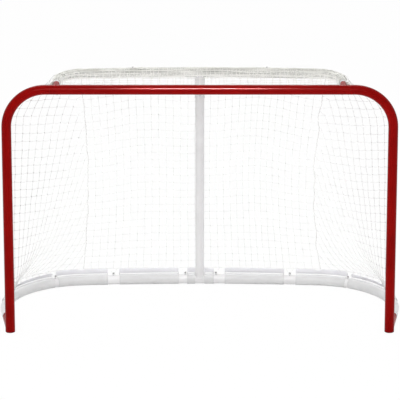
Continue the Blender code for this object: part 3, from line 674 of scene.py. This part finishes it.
def net_foot(distance):
    """The net's lower edge beside a place on the base."""
    side = 1 if distance > 0 else -1
    post_end = BASE_HALF - BEHIND
    if abs(distance) < SEAMS[side][0]:
        return beside(BASE_LINE, distance, NET_OFFSET, NET_Z)
    return side_surface(side)((post_end - abs(distance)) / (post_end - SEAMS[side][0]), 0)


# %% Surface of the rear panel
REAR_SAG = 0.030


def rear_surface():
    def bottom(u):
        side = 1 if u > 0.5 else -1
        return beside(BASE_LINE, (2 * u - 1) * SEAMS[side][0], NET_OFFSET, NET_Z)

    def top(u):
        return shelf_edge(1 if u > 0.5 else -1, abs(2 * u - 1))

    sheet = stretched(lambda v: seam_edge(-1, v), lambda v: seam_edge(1, v), bottom, top, 0)

    def surface(u, v):
        # The middle lies on the centre post, and each half sags between it and its seam
        slack = REAR_SAG * abs(math.sin(2 * math.pi * u)) * math.sin(math.pi * v)
        return sheet(u, v) - Vector((0, slack - forward_pull(v) * (1 - abs(2 * u - 1)), 0))

    return surface


# %% [markdown]
# ## Knots and strands
#
# Knotted netting is one grid of twine with a small hard knot at every crossing. A texture on a
# sheet would look flat from the side, so every strand is a thin tube. Each knot is the same
# twine tied round itself, and a trefoil loop gives that look with ten points. The rows are pulled
# tight between post and seam, so they are thinner than the columns.

# %% One knot
KNOT, KNOT_POINTS = 0.0032, 10


def round_angles(count):
    """That many angles, evenly spread round a full turn."""
    return [2 * math.pi * i / count for i in range(count)]


def knot_loop(at, across, up):
    """A trefoil loop in the plane of the net."""
    normal = across.cross(up).normalized()
    points = []
    for a in round_angles(KNOT_POINTS):
        x = math.sin(a) + 2 * math.sin(2 * a)
        y = math.cos(a) - 2 * math.cos(2 * a)
        depth = math.sin(3 * a) * KNOT * 0.45
        points.append(at + (across * x + up * y) * (KNOT / 3) - normal * depth)
    return points


# %% One strand
CELL = 0.0395
TWINE_R = 0.00098
ROW_DROOP = 0.0016


def wander(point, amount):
    """A small smooth shift that is the same every time for the same place."""
    return noise.noise_vector(point * 17.0) * amount


def strand(knots, droop):
    """A run through its knots, each span sagging a little and never quite straight."""
    run = [knots[0]]
    for a, b in zip(knots, knots[1:]):
        for share in (1 / 3, 2 / 3):
            point = blend(a, b, share)
            point.z -= droop * (a - b).to_2d().length / CELL
            run.append(point + wander(point * 3.1, 0.0009))
        run.append(b)
    return run


# %% Knots for a whole grid
def loops_at(rows):
    """A knot at each crossing of a list of rows of points."""
    loops = []
    for r, row in enumerate(rows):
        for c, at in enumerate(row):
            ahead = row[c + 1] if c + 1 < len(row) else at * 2 - row[c - 1]
            over = rows[r + 1] if r + 1 < len(rows) else rows[r - 1]
            above = over[min(c, len(over) - 1)]
            across = (ahead - at).normalized()
            up = (above - at) - across * (above - at).dot(across)
            loops.append(knot_loop(at, across, up.normalized()))
    return loops


# %% [markdown]
# ## Side panels
#
# The rows of a side panel run from the post to the seam. The panel is cut on a slant: from the
# shelf down, each row is half a mesh longer than the one above, and every second row a new
# column starts at the seam. That is why the net seems to fan out behind the post's foot.

# %% The knots of one row
def row_points(surface, v, meshes):
    """The knots of one row, evenly spread along it from its front edge."""
    line = [surface(i / 80, v) for i in range(81)]
    reach = [0.0]
    for a, b in zip(line, line[1:]):
        reach.append(reach[-1] + (b - a).length)
    mesh = reach[-1] / meshes
    knots, place = [], 0
    for k in range(int(meshes - 0.3) + 1):
        while reach[place + 1] < k * mesh:
            place += 1
        share = (k * mesh - reach[place]) / (reach[place + 1] - reach[place])
        knots.append(blend(line[place], line[place + 1], share))
    return knots


# %% The strands of a side panel
NET_ROWS = 27
TOP_MESHES, MORE_MESHES = 7.3, 0.48
ROW_SAG = {-1: 0.007, 1: 0.014}
KNOT_WANDER = 0.0035


def side_panel(side):
    """The columns, the taut rows and the knots of one side panel."""
    surface, sag = side_surface(side), ROW_SAG[side]
    rows, ends = [], []
    for r in range(NET_ROWS + 1):
        v = r / NET_ROWS
        knots = row_points(surface, v, TOP_MESHES + MORE_MESHES * (NET_ROWS - r))
        count = len(knots)
        for k, knot in enumerate(knots):
            across = math.sin(math.pi * min(1, k / max(1, count - 0.5)))
            knot.z -= sag * across * math.sin(math.pi * v) ** 0.5
            if k > 0:
                knot += wander(knot, KNOT_WANDER)
        rows.append(knots)
        ends.append(laced_point(side, v))
    taut = [strand(row + [end], ROW_DROOP) for row, end in zip(rows[1:-1], ends[1:-1])]
    runs = []
    widest = max(len(row) for row in rows)
    for k in range(1, widest):
        column = [row[k] for row in rows if len(row) > k]
        if len(column) < len(rows):
            column.append(laced_point(side, (len(column) - 0.4) / NET_ROWS))
        if len(column) > 1:
            runs.append(strand(column, 0))
    return runs, taut, loops_at([row[1:] for row in rows[1:-1]])


# %% Side panels
def tell_net(piece, strands, knots):
    print(piece.name, strands, "strands", knots, "knots", len(piece.data.polygons), "faces")


for side, name in SIDES:
    runs, taut, loops = side_panel(side)
    panel = swept(f"side_netting_{name}", runs, TWINE_R, 6, loops, taut)
    keep(panel, "twine", twine, "net_side_" + name)
    tell_net(panel, len(runs) + len(taut), len(loops))

# %% [markdown]
# ## Rear panel
#
# The rear panel hangs from the shelf on both sides of the centre post. Its rows arch between a
# seam and the post, because spare netting there is gathered up into the roll on the shelf. Rows
# that would pass the shelf simply end in the roll.

# %% Crossings of the rear panel
REAR_COLUMNS = 33
LEFT_COLUMNS = 15.5
ARCH, ARCH_START = 0.030, 2.2
LEFT_FULLNESS, RIGHT_FULLNESS = 0.9, 1.15
ROLL_CUT = 0.995


def across_rear(column):
    """Where a column stands between the seams. The right half is fuller, gathered in its middle."""
    if column <= LEFT_COLUMNS:
        return 0.5 * column / LEFT_COLUMNS
    share = (column - LEFT_COLUMNS) / (REAR_COLUMNS - LEFT_COLUMNS)
    return 0.5 + 0.5 * (share + 0.019 * math.sin(2 * math.pi * share))


def rear_knot(surface, column, row):
    """A crossing of the rear panel, or none where it is gathered into the roll."""
    u = across_rear(column)
    fullness = RIGHT_FULLNESS if u > 0.5 else LEFT_FULLNESS
    hump = math.sin(2 * math.pi * min(u, 1 - u)) ** 2 * fullness
    v = row / NET_ROWS
    v += ARCH * hump * min(1, v * ARCH_START)
    if v > ROLL_CUT:
        return None
    point = surface(u, v)
    return point + wander(point, KNOT_WANDER) if row > 0 else point


surface = rear_surface()
grid = []
for r in range(NET_ROWS + 1):
    inner = [rear_knot(surface, c, r) for c in range(1, REAR_COLUMNS)]
    grid.append([laced_point(-1, r / NET_ROWS), *inner, laced_point(1, r / NET_ROWS)])
print("rear crossings:", sum(knot is not None for row in grid for knot in row))

# %% Rear strands
runs, taut = [], []
for row in grid[1:-1]:
    part = []
    for knot in row + [None]:
        if knot is not None:
            part.append(knot)
            continue
        if len(part) > 1:
            taut.append(strand(part, ROW_DROOP))
        part = []
for c in range(1, REAR_COLUMNS):
    column = [row[c] for row in grid if row[c] is not None]
    column.append(surface(across_rear(c), 1.0))
    runs.append(strand(column, 0))
print(len(taut), "rows", len(runs), "columns")

# %% Rear knots
loops = []
for r in range(1, NET_ROWS):
    for c in range(1, REAR_COLUMNS):
        at, ahead, above = grid[r][c], grid[r][c + 1], grid[r - 1][c]
        if at is None or above is None:
            continue
        across = ((ahead if ahead is not None else grid[r - 1][c + 1]) - at).normalized()
        up = (at - above) - across * (at - above).dot(across)
        loops.append(knot_loop(at, across, up.normalized()))
rear = keep(swept("rear_netting", runs, TWINE_R, 6, loops, taut), "twine", twine, "net_rear")
tell_net(rear, len(runs) + len(taut), len(loops))

# %% [markdown]
# ## Roof
#
# The roof lies between the crossbar's pegs and the roll, with a shallow belly. It could be
# draped as cloth, but a grid that follows the shelf's bent outline is the same on every run, and
# the knots and strands made above serve again.

# %% Roof panel
ROOF_HALF = SHELF_X - 0.030
ROOF_Z = BAR_Z + 0.0058
ROOF_BELLY, ROLL_ROOM = 0.012, 0.027
ROOF_COLUMNS, ROOF_ROWS = 34, 7


def roof_point(u, v):
    x = (2 * u - 1) * ROOF_HALF
    back = TOP_DEPTH - x * x / (2 * BOW_RADIUS) - ROLL_ROOM
    past = abs(x) - (SHELF_X - TOP_CORNER)
    if past > 0:
        back -= TOP_CORNER - math.sqrt(max(0.0004, TOP_CORNER**2 - past**2))
    belly = ROOF_BELLY * math.sin(math.pi * v) * math.sin(math.pi * u)
    return Vector((x, blend(BEHIND, back, v), ROOF_Z - belly))


rows = []
for r in range(ROOF_ROWS + 1):
    row = [roof_point(c / ROOF_COLUMNS, r / ROOF_ROWS) for c in range(ROOF_COLUMNS + 1)]
    rows.append([point + wander(point, 0.003) if 0 < r < ROOF_ROWS else point for point in row])
runs = [strand(row, 0) for row in rows]
runs += [strand([row[c] for row in rows], 0) for c in range(ROOF_COLUMNS + 1)]
loops = loops_at(rows[1:-1])
roof = keep(swept("roof_netting", runs, TWINE_R, 6, loops), "twine", gathered_twine, "net_roof")
tell_net(roof, len(runs), len(loops))

# %% [markdown]
# ## Seams
#
# The panels are laced together with a heavier cord that catches a mesh of each in turn. It runs
# in short jogs, and a thin twine winds round it, so a plain straight rod would look wrong.

# %% Seam cords
WIND_RADIUS = 0.0021
turns = NET_ROWS * 2
for side, name in SIDES:
    core = []
    for i in range(turns + 1):
        point = laced_point(side, i / turns)
        core.append(point + wander(point * 1.7, 0.0015))
    wound = []
    for i in range(turns * 10 + 1):
        place = i / (turns * 10) * turns
        low = min(int(place), turns - 1)
        angle = 2 * math.pi * i / 10
        round_core = Vector((math.cos(angle), math.sin(angle), 0)) * WIND_RADIUS
        wound.append(blend(core[low], core[low + 1], place - low) + round_core)
    cord = swept(f"seam_lacing_{name}", [core], 0.0012, 8)
    keep(cord, "twine", seam_twine, "seam_cord_" + name)
    winding = keep(swept(f"seam_winding_{name}", [wound], 0.0008, 6), "twine", seam_twine)
    print(cord.name, f"{length_of(core):.3f} m", winding.name, f"{length_of(wound):.3f} m")

# %% [markdown]
# ## Hem cords
#
# A cord runs through the last meshes of every free edge and hooks over the pegs. It goes up each
# post and round its bend, along the crossbar, and round the base above the skirt's flap. Its
# points come from the same edges as the netting's, so cord and net can't come apart.

# %% Hem cords
hems = []
for side, _ in SIDES:
    panel = side_surface(side)
    hems.append([front_edge(side, i / 90) for i in range(90)] + [panel(0, 1.0)])
    hems.append([panel(i / 24, 1.0) for i in range(25)])
    hems.append([roof_point(max(0, side), i / 10) for i in range(11)])
hems.append([roof_point(i / 70, 0) for i in range(71)])
base_end = BASE_HALF - BEHIND
hems.append([net_foot(blend(-base_end, base_end, i / 240)) for i in range(241)])
hem = keep(swept("net_hem_cord", hems, 0.0019, 8), "twine", twine)
print(hem.name, f"{sum(length_of(run) for run in hems):.2f} m")

# %% [markdown]
# ## The roll on the shelf
#
# Behind the bar the spare netting is gathered round the shelf tube and tied. It reads as a soft
# streaky roll. A lumpy sleeve gives its mass: rings of points along the rail, their radius moved
# by noise that is stretched along the tube, so the lumps become pleats. The sleeve is painted
# dark and streaky, a painted shade of the folds inside the gathered netting.

# %% The roll's surface
ROLL_FULL, ROLL_END, WRAP_END = 0.600, 0.690, 0.815
FULL_R, LEG_R = 0.0226, 0.0192


def roll_radius(distance, angle):
    """The roll's radius at a place along the shelf and an angle round it."""
    thinning = min(1.0, max(0.0, (abs(distance) - ROLL_FULL) / (ROLL_END - ROLL_FULL)))
    across, up = math.cos(angle), math.sin(angle)
    pleat = noise.noise(Vector((distance * 5.0, 3.1 * across, 3.1 * up))) * 0.0024
    crease = noise.noise(Vector((distance * 17.0, 7.0 * across + 9, 7.0 * up))) * 0.0013
    return blend(FULL_R, LEG_R, thinning) + (pleat + crease) * blend(1.0, 0.3, thinning)


def roll_point(distance, angle, lift=0.0):
    """Angle 0 points away from the goal's inside, 90 degrees points up."""
    radius = roll_radius(distance, angle) + lift
    return beside(TOP_LINE, distance, radius * math.cos(angle), BAR_Z + radius * math.sin(angle))


# %% Roll sleeve
ROLL_RINGS, ROLL_SIDES = 440, 40
shape = bmesh.new()
rings = []
for i in range(ROLL_RINGS + 1):
    distance = blend(-WRAP_END, WRAP_END, i / ROLL_RINGS)
    round_roll = [roll_point(distance, angle) for angle in round_angles(ROLL_SIDES)]
    rings.append([shape.verts.new(from_goal_line(point)) for point in round_roll])
for ring, after in zip(rings, rings[1:]):
    for j in range(ROLL_SIDES):
        shape.faces.new((ring[j - 1], ring[j], after[j], after[j - 1]))
for ring in (rings[0], rings[-1]):
    shape.faces.new(ring)
bmesh.ops.recalc_face_normals(shape, faces=shape.faces)
roll = as_piece("shelf_roll", mesh_from("shelf_roll", shape))
keep(roll, "twine", roll_shade_twine, "net_top_fold")
print(roll.name, len(roll.data.polygons), "faces")

# %% [markdown]
# ## Gathered twine on the roll
#
# Over the sleeve lie real strands, crowded together in bundles of three that cross at low angles,
# with their knots and with ties round the whole roll. They give it its broken outline and its
# fine shadows.

# %% Bundles along the roll
BUNDLES, ROLL_STEPS = 10, 400
runs, loops = [], []
for k in range(BUNDLES * 3):
    bundle, place = divmod(k, 3)
    start = 2 * math.pi * bundle / BUNDLES + 0.13 * place
    run = []
    for i in range(ROLL_STEPS + 1):
        distance = blend(-WRAP_END + 0.002, WRAP_END - 0.002, i / ROLL_STEPS)
        drift = noise.noise(Vector((distance * 4.0, bundle * 2.7, place * 0.3))) * 0.55
        angle = start + drift
        lift = 0.0012 + 0.0016 * abs(noise.noise(Vector((distance * 11.0, k * 1.3, 4.0))))
        run.append(roll_point(distance, angle, lift))
        if i % 8 == (k * 3) % 8 and abs(distance) < ROLL_END:
            across = (roll_point(distance + 0.01, angle, lift) - run[-1]).normalized()
            round_tube = roll_point(distance, angle + 0.2, lift) - run[-1]
            up = (round_tube - across * round_tube.dot(across)).normalized()
            loops.append(knot_loop(run[-1], across, up))
    runs.append(run)
print(len(runs), "strands along the roll")

# %% Ties round the roll
ROLL_TIES, TIE_TURN = 76, 2 * math.pi * 0.62
for k in range(ROLL_TIES):
    distance = blend(-WRAP_END + 0.01, WRAP_END - 0.01, (k + 0.5) / ROLL_TIES)
    lean = noise.noise(Vector((k * 5.1, 0, 0))) * 0.02
    first = noise.noise(Vector((k * 3.3, 7, 0))) * 3
    shares = [i / 18 for i in range(19)]
    runs.append([roll_point(distance + lean * s, first + TIE_TURN * s, 0.0022) for s in shares])
print(ROLL_TIES, "ties round it")

# %% Strands from the roll to the bar
# The last strands leave the roll at its corner and run straight to the bar, outside the leg
LEG_STRANDS = 19
for side, _ in SIDES:
    for k in range(LEG_STRANDS):
        order = (k, k * 5, k * 7)
        share, mixed, crossed = (place % LEG_STRANDS / (LEG_STRANDS - 1) for place in order)
        angle = blend(math.radians(-70), math.radians(75), share)
        start = roll_point(side * blend(0.630, 0.700, mixed), angle, 0.001)
        at_bar = side * blend(0.731, 0.744, share)
        end = Vector((at_bar, BEHIND, BAR_Z + blend(-0.004, 0.011, crossed)))
        line = [blend(start, end, i / 10) for i in range(11)]
        runs.append([point + wander(point * 2.3, 0.0012) for point in line])
strands = keep(swept("gathered_strands", runs, 0.0012, 6, loops), "twine", gathered_twine)
tell_net(strands, len(runs), len(loops))

# %% [markdown]
# ## Skirt strips
#
# White vinyl strips wrap the base tube and stand up behind it as a flap, so that pucks don't
# fray the net. Each strip is one sheet: its section starts at the flap's top edge, runs down
# behind the tube, under it and back over the top. The sheet is a grid with a little waviness,
# thickened afterwards. Beside the posts the flap gets lower and then lies down on the tube, where
# the net leaves the base and runs straight to the post.

# %% Skirt section
WRAP_R = BASE_R + 0.0010
FLAP_SHARE = 0.28
WRAP_TURN = math.radians(322)
SIDE_FLAP, FLAP_END = 0.755, 1.000


def flap_lowering(distance):
    """How much lower the flap stands beside the posts, until it lies on the tube."""
    if abs(distance) <= SIDE_FLAP:
        return 0.0
    lower = blend(0.006, 0.015, (abs(distance) - SIDE_FLAP) / (FLAP_END - SIDE_FLAP))
    laid_down = min(1.0, max(0.0, (abs(distance) - FLAP_END) / 0.035))
    return blend(lower, FLAP_TOP - RAIL_Z - 0.012, laid_down)


def skirt_point(distance, share, edge):
    """A point of a strip, from its flap's top (0) to its wrap's end (1). Edge is 1 at its ends."""
    ripple = noise.noise(Vector((distance * 22.0, share * 5.0, 1.0)))
    swell = noise.noise(Vector((distance * 7.0, share * 2.0, 6.0)))
    if share < FLAP_SHARE:
        rise = 1 - share / FLAP_SHARE
        scallop = (0.0005 + 0.0005 * swell) * (1 - math.cos(2 * math.pi * distance / CELL))
        dip = 0.030 * max(0.0, noise.noise(Vector((distance * 9.0, 0, 3.0))) - 0.28)
        lower = scallop + dip + flap_lowering(distance) + 0.001 * edge
        height = blend(RAIL_Z, FLAP_TOP + 0.0014 - lower * rise, rise)
        outward = WRAP_R + (0.0010 * ripple + 0.0012 * swell) * rise - 0.005 * rise * rise
        return beside(BASE_LINE, distance, outward, height)
    angle = -(share - FLAP_SHARE) / (1 - FLAP_SHARE) * WRAP_TURN
    # Under the tube the strip is pressed flat, and on the inside it puckers
    pucker = max(0.0, math.sin(-angle - math.radians(60)))
    radius = WRAP_R + (0.0005 + 0.0005 * ripple) * pucker
    return beside(BASE_LINE, distance, radius * math.cos(angle), RAIL_Z + radius * math.sin(angle))


# %% Where each strip starts and ends
SKIRTS = {
    -1: {
        "centre": (0.0236, 0.0646),
        "rear": (0.110, 0.416),
        "corner": (0.476, 0.740),
        "side": (0.759, 1.150),
    },
    1: {
        "centre": (0.0236, 0.0724),
        "rear": (0.129, 0.434),
        "corner": (0.496, 0.762),
        "side": (0.780, 1.150),
    },
}
spans = [(side, *ends) for side, _ in SIDES for ends in SKIRTS[side].values()]
print(len(spans), "strips,", f"{sum(end - start for _, start, end in spans):.2f} m in all")

# %% Skirt strips
SKIRT_ROWS, SKIRT_STEP = 37, 0.006
CLOTH = 0.0010


def skirt_strip(name, start, end):
    columns = max(6, round(abs(end - start) / SKIRT_STEP))
    shape = bmesh.new()
    bmesh.ops.create_grid(shape, x_segments=columns, y_segments=SKIRT_ROWS, size=0.5)
    for corner in shape.verts:
        u, v = corner.co.x + 0.5, corner.co.y + 0.5
        edge = max(0.0, 1 - min(u, 1 - u) * abs(end - start) / 0.012)
        corner.co = from_goal_line(skirt_point(blend(start, end, u), v, edge * edge))
    area = sum(face.calc_area() for face in shape.faces)
    strip = as_piece(name, mesh_from(name, shape))
    sheet = strip.modifiers.new("thickness", "SOLIDIFY")
    sheet.thickness = CLOTH
    sheet.offset = 0
    return strip, area


for side, name in SIDES:
    for label, (start, end) in SKIRTS[side].items():
        strip, area = skirt_strip(f"skirt_strip_{label}_{name}", side * start, side * end)
        keep(strip, "vinyl", vinyl, f"skirt_{label}_{name}")
        flat = (round(end - start, 3), round(area / (end - start), 3))
        tubes = [f"{name}_base_tube"] if end > REAR_RAIL_HALF else []
        if start < REAR_RAIL_HALF:
            tubes.append("rear_base_tube")
        print(strip.name, f"flat {flat[0]:.3f} by {flat[1]:.3f} m")

# %% [markdown]
# ## Hems and lacing of the skirt
#
# The flap's top edge is folded over a thin cord, and twine ties it to the net at every mesh. The
# ties are small closed loops over the flap's edge and the net's hem cord. A near-white welt lies
# in the groove between the flap and the tube; its colour is a painted highlight, a thin bright
# line over the groove's shade.

# %% Places along a strip
def along_strip(side, start, end, margin):
    """Distances from near one end of a strip to near the other."""
    count = max(4, round((end - start) / SKIRT_STEP))
    return [side * blend(start + margin, end - margin, i / count) for i in range(count + 1)]


def step_out(distance, amount):
    """A short level step out of the goal at a place on the base, or into it if below 0."""
    return beside(BASE_LINE, distance, amount, 0) - beside(BASE_LINE, distance, 0, 0)


# %% Welt and hem cord
WELT_R, WELT_OUT = 0.0042, 0.0105
welt_z = RAIL_Z + math.sqrt((WRAP_R + WELT_R) ** 2 - WELT_OUT**2) + 0.0004
welts, edges = [], []
for span in spans:
    places = along_strip(*span, 0.003)
    welts.append([beside(BASE_LINE, place, WELT_OUT, welt_z) for place in places])
    places = along_strip(*span, 0.004)
    edges.append([skirt_point(place, 0.0, 0) - UP * 0.0004 for place in places])
flap_hem = keep(swept("skirt_hem_cord", edges, 0.0015, 8), "vinyl", vinyl)
print(flap_hem.name, len(edges), "hems")

# %% Ties at every mesh, and stitches below the hem
STITCH = 0.0055
ties, stitches = [], []
for side, start, end in spans:
    for i in range(int((end - start) / STITCH)):
        distance = side * (start + 0.004 + i * STITCH)
        a, b = (skirt_point(distance + shift, 0.10, 0) for shift in (0, side * 0.003))
        inward = step_out(distance, -0.0008)
        stitches.append([a + inward, blend(a, b, 0.5) + inward * 1.2, b + inward])
    first = math.ceil((start + 0.006) / CELL)
    for k in range(first, int((min(end, FLAP_END) - 0.006) / CELL) + 1):
        distance = side * k * CELL
        low = skirt_point(distance, 0.06, 0)
        high = net_foot(distance) + UP * 0.0025
        middle, half = (low + high) / 2, (high - low) / 2
        outward = step_out(distance, 0.0038)
        ties.append([middle + half * math.cos(a) + outward * math.sin(a) for a in round_angles(12)])
lacing = keep(swept("skirt_lacing", [], 0.0010, 6, ties), "twine", twine)
stitching = keep(swept("skirt_stitching", stitches, 0.00035, 4), "vinyl", seam_twine)
welt = keep(swept("skirt_highlight_welt", welts, WELT_R, 10), "vinyl", welt_highlight)
print(lacing.name, len(ties), "ties", stitching.name, len(stitches), "stitches")
print(welt.name, f"{sum(length_of(run) for run in welts):.2f} m")

# %% [markdown]
# ## Pegs in the gaps
#
# Between the strips a dark steel peg stands on the tube, and the lacing is tied to it. Others
# stand behind the posts and the bar, and two on the shelf tube poke out through the roll. Those
# on the base are placed from the strips' own ends, so they stay in the gaps between them.

# %% Pegs on the base
GAP_PEG = 0.011
gaps = []
for side, _ in SIDES:
    centre, rear_span, corner, side_span = SKIRTS[side].values()
    gaps.append(side * (centre[1] + GAP_PEG))
    gaps.append(side * (rear_span[1] + corner[0]) / 2)
    gaps.append(side * (corner[1] + side_span[0]) / 2)
    gaps.append(side * (side_span[1] + GAP_PEG))
base_places = [(beside(BASE_LINE, distance, 0, RAIL_Z + BASE_R), UP) for distance in gaps]
base_pegs = keep(pegs("base_pegs", base_places), "zinc_plate", peg_steel)
print(base_pegs.name, len(base_places))

# %% Pegs behind the frame and on the shelf
PEG_ROWS, PEG_COLUMNS, SHELF_PEG = 10, 11, 0.330
frame_places = []
for side, _ in SIDES:
    to_tube = Vector((-side * HOOK_INWARD, CORD_ROOM, 0))
    for row in range(0, PEG_ROWS, 2):
        frame_places.append((front_edge(side, (row + 0.5) / PEG_ROWS) - to_tube, BACK))
for column in range(0, PEG_COLUMNS, 2):
    x = ROOF_HALF * (2 * column + 1 - PEG_COLUMNS) / PEG_COLUMNS
    frame_places.append((Vector((x, FRAME_R, BAR_Z)), BACK))
frame_pegs = keep(pegs("frame_pegs", frame_places), "red_enamel", red_enamel)
shelf_z = BAR_Z + TOP_R + 0.0009
shelf_places = [(beside(TOP_LINE, side * SHELF_PEG, 0, shelf_z), UP) for side, _ in SIDES]
shelf_pegs = keep(pegs("shelf_pegs", shelf_places), "white_enamel", white_enamel)
print(frame_pegs.name, len(frame_places), shelf_pegs.name, len(shelf_places))

# %% Ties round the base pegs
TURNS = ((0.004, 0.0062), (0.0066, 0.0058))
turns, tails = [], []
for point, _ in base_places:
    for lift, radius in TURNS:
        turn = []
        for a in round_angles(14):
            height = lift + 0.0012 * math.sin(2 * a)
            turn.append(point + Vector((radius * math.cos(a), radius * math.sin(a), height)))
        turns.append(turn)
for distance in gaps:
    top = beside(BASE_LINE, distance, 0, RAIL_Z + BASE_R + 0.005)
    for shift in (-0.010, 0.010):
        hem_place = net_foot(distance + shift * 2)
        middle = blend(top, hem_place, 0.5) - UP * 0.002
        tails.append([top + Vector((shift * 0.5, 0, 0)), middle, hem_place])
tied = keep(swept("peg_ties", tails, 0.0012, 6, turns), "twine", twine)
print(tied.name, len(turns), "turns", len(tails), "tails")

# %% [markdown]
# ## Floor, world and lamps
#
# The floor and the sky are white to the camera and in reflections, so the object stands on a
# bright sweep, while the light that falls on it stays plain. The light is a little stronger
# from the back and the sides than from the front, as in front of a lit white wall, which is what
# gives white tubes their grey middles.

# %% What the camera sees, straight or in a reflection
def larger(owner, first, second):
    either = new_node(owner, "ShaderNodeMath", operation="MAXIMUM")
    wire(owner, first, either.inputs[0])
    wire(owner, second, either.inputs[1])
    return either.outputs[0]


def seen_or_mirrored(owner):
    """1 for a ray from the camera, from a mirror or through glass, otherwise 0."""
    rays = new_node(owner, "ShaderNodeLightPath").outputs
    mirrored = larger(owner, rays["Is Glossy Ray"], rays["Is Transmission Ray"])
    return larger(owner, rays["Is Camera Ray"], mirrored)


def shown_as(owner, output_kind, share, plain, seen):
    """Mixes what lights the goal with what the camera sees, and ends the nodes with it."""
    output = new_node(owner, output_kind)
    mix = new_node(owner, "ShaderNodeMixShader")
    wire(owner, share, mix.inputs["Fac"])
    wire(owner, plain.outputs[0], mix.inputs[1])
    wire(owner, seen.outputs[0], mix.inputs[2])
    wire(owner, mix.outputs[0], output.inputs["Surface"])


# %% Floor
WHITE = (1, 1, 1, 1)
FLOOR_GLOW = 0.965
bpy.ops.mesh.primitive_plane_add(size=60, location=(0, 0, -0.0005))
floor = bpy.context.object
floor.name = "floor"
floor_paint = bpy.data.materials.new("floor_paint")
floor_paint.use_nodes = True
floor_paint.node_tree.nodes.clear()
matt = new_node(floor_paint, "ShaderNodeBsdfDiffuse", {"Color": (0.94, 0.94, 0.94, 1)})
glow = new_node(floor_paint, "ShaderNodeEmission", {"Color": WHITE, "Strength": 1.0})
part = new_node(floor_paint, "ShaderNodeMath", {1: FLOOR_GLOW}, operation="MULTIPLY")
wire(floor_paint, seen_or_mirrored(floor_paint), part.inputs[0])
shown_as(floor_paint, "ShaderNodeOutputMaterial", part.outputs[0], matt, glow)
floor.data.materials.append(floor_paint)
print("floor:", floor.name, floor_paint.name)

# %% World
world = bpy.data.worlds.new("studio")
bpy.context.scene.world = world
world.use_nodes = True
world.node_tree.nodes.clear()
place = new_node(world, "ShaderNodeTexCoord")
split = new_node(world, "ShaderNodeSeparateXYZ")
to_back = {"From Min": -1.0, "From Max": 0.6, "To Min": 0.34, "To Max": 0.95}
slope = new_node(world, "ShaderNodeMapRange", to_back)
soft = new_node(world, "ShaderNodeBackground", {"Color": WHITE})
plain = new_node(world, "ShaderNodeBackground", {"Color": WHITE, "Strength": 1.0})
wire(world, place.outputs["Generated"], split.inputs[0])
wire(world, split.outputs["Y"], slope.inputs["Value"])
wire(world, slope.outputs["Result"], soft.inputs["Strength"])
shown_as(world, "ShaderNodeOutputWorld", seen_or_mirrored(world), soft, plain)
print("world:", world.name)

# %% Lamps
def softbox(name, place, target, width, height, power):
    lamp = bpy.data.lights.new(name, "AREA")
    lamp.shape = "RECTANGLE"
    lamp.size, lamp.size_y = width, height
    lamp.energy = power
    holder = bpy.data.objects.new(name, lamp)
    bpy.context.scene.collection.objects.link(holder)
    holder.location = place
    holder.rotation_euler = (Vector(target) - Vector(place)).to_track_quat("-Z", "Y").to_euler()
    return holder


MIDDLE = (0, 0, 0.6)
softbox("key", (-1.1, -4.7, 3.8), MIDDLE, 2.2, 2.2, 92)
softbox("fill", (0.7, -4.6, 2.4), MIDDLE, 2.2, 2.2, 36)
overhead = softbox("overhead", (0, 0.9, 4.6), (0, 0.3, 0.6), 4.0, 2.0, 50)
overhead.visible_glossy = False
# Two lamps that only draw highlights: a line along the bar, and a bright edge on top of each tube
strip = softbox("strip", (0, -2.75, 3.30), (0, -0.36, 1.24), 0.76, 0.13, 720)
rim = softbox("rim", (0, 3.0, 4.0), MIDDLE, 4.5, 0.5, 120)
strip.visible_diffuse = rim.visible_diffuse = False

# %% [markdown]
# ## Camera
#
# The view is from in front and above, through a long lens from fourteen metres away, so the
# posts stay almost parallel. The picture is square.

# %% Camera
lens = bpy.data.cameras.new("camera")
lens.sensor_width = 36
lens.sensor_fit = "HORIZONTAL"
lens.lens = 272.6
lens.clip_end = 200
camera = bpy.data.objects.new("camera", lens)
bpy.context.scene.collection.objects.link(camera)
camera.location = (0.0011, GOAL_LINE - 14.0947, 5.1976)
camera.rotation_euler = (math.radians(90 - 17.756), 0, 0)
bpy.context.scene.camera = camera
bpy.context.scene.view_settings.view_transform = "Standard"
print(camera.name, f"{lens.lens} mm lens")
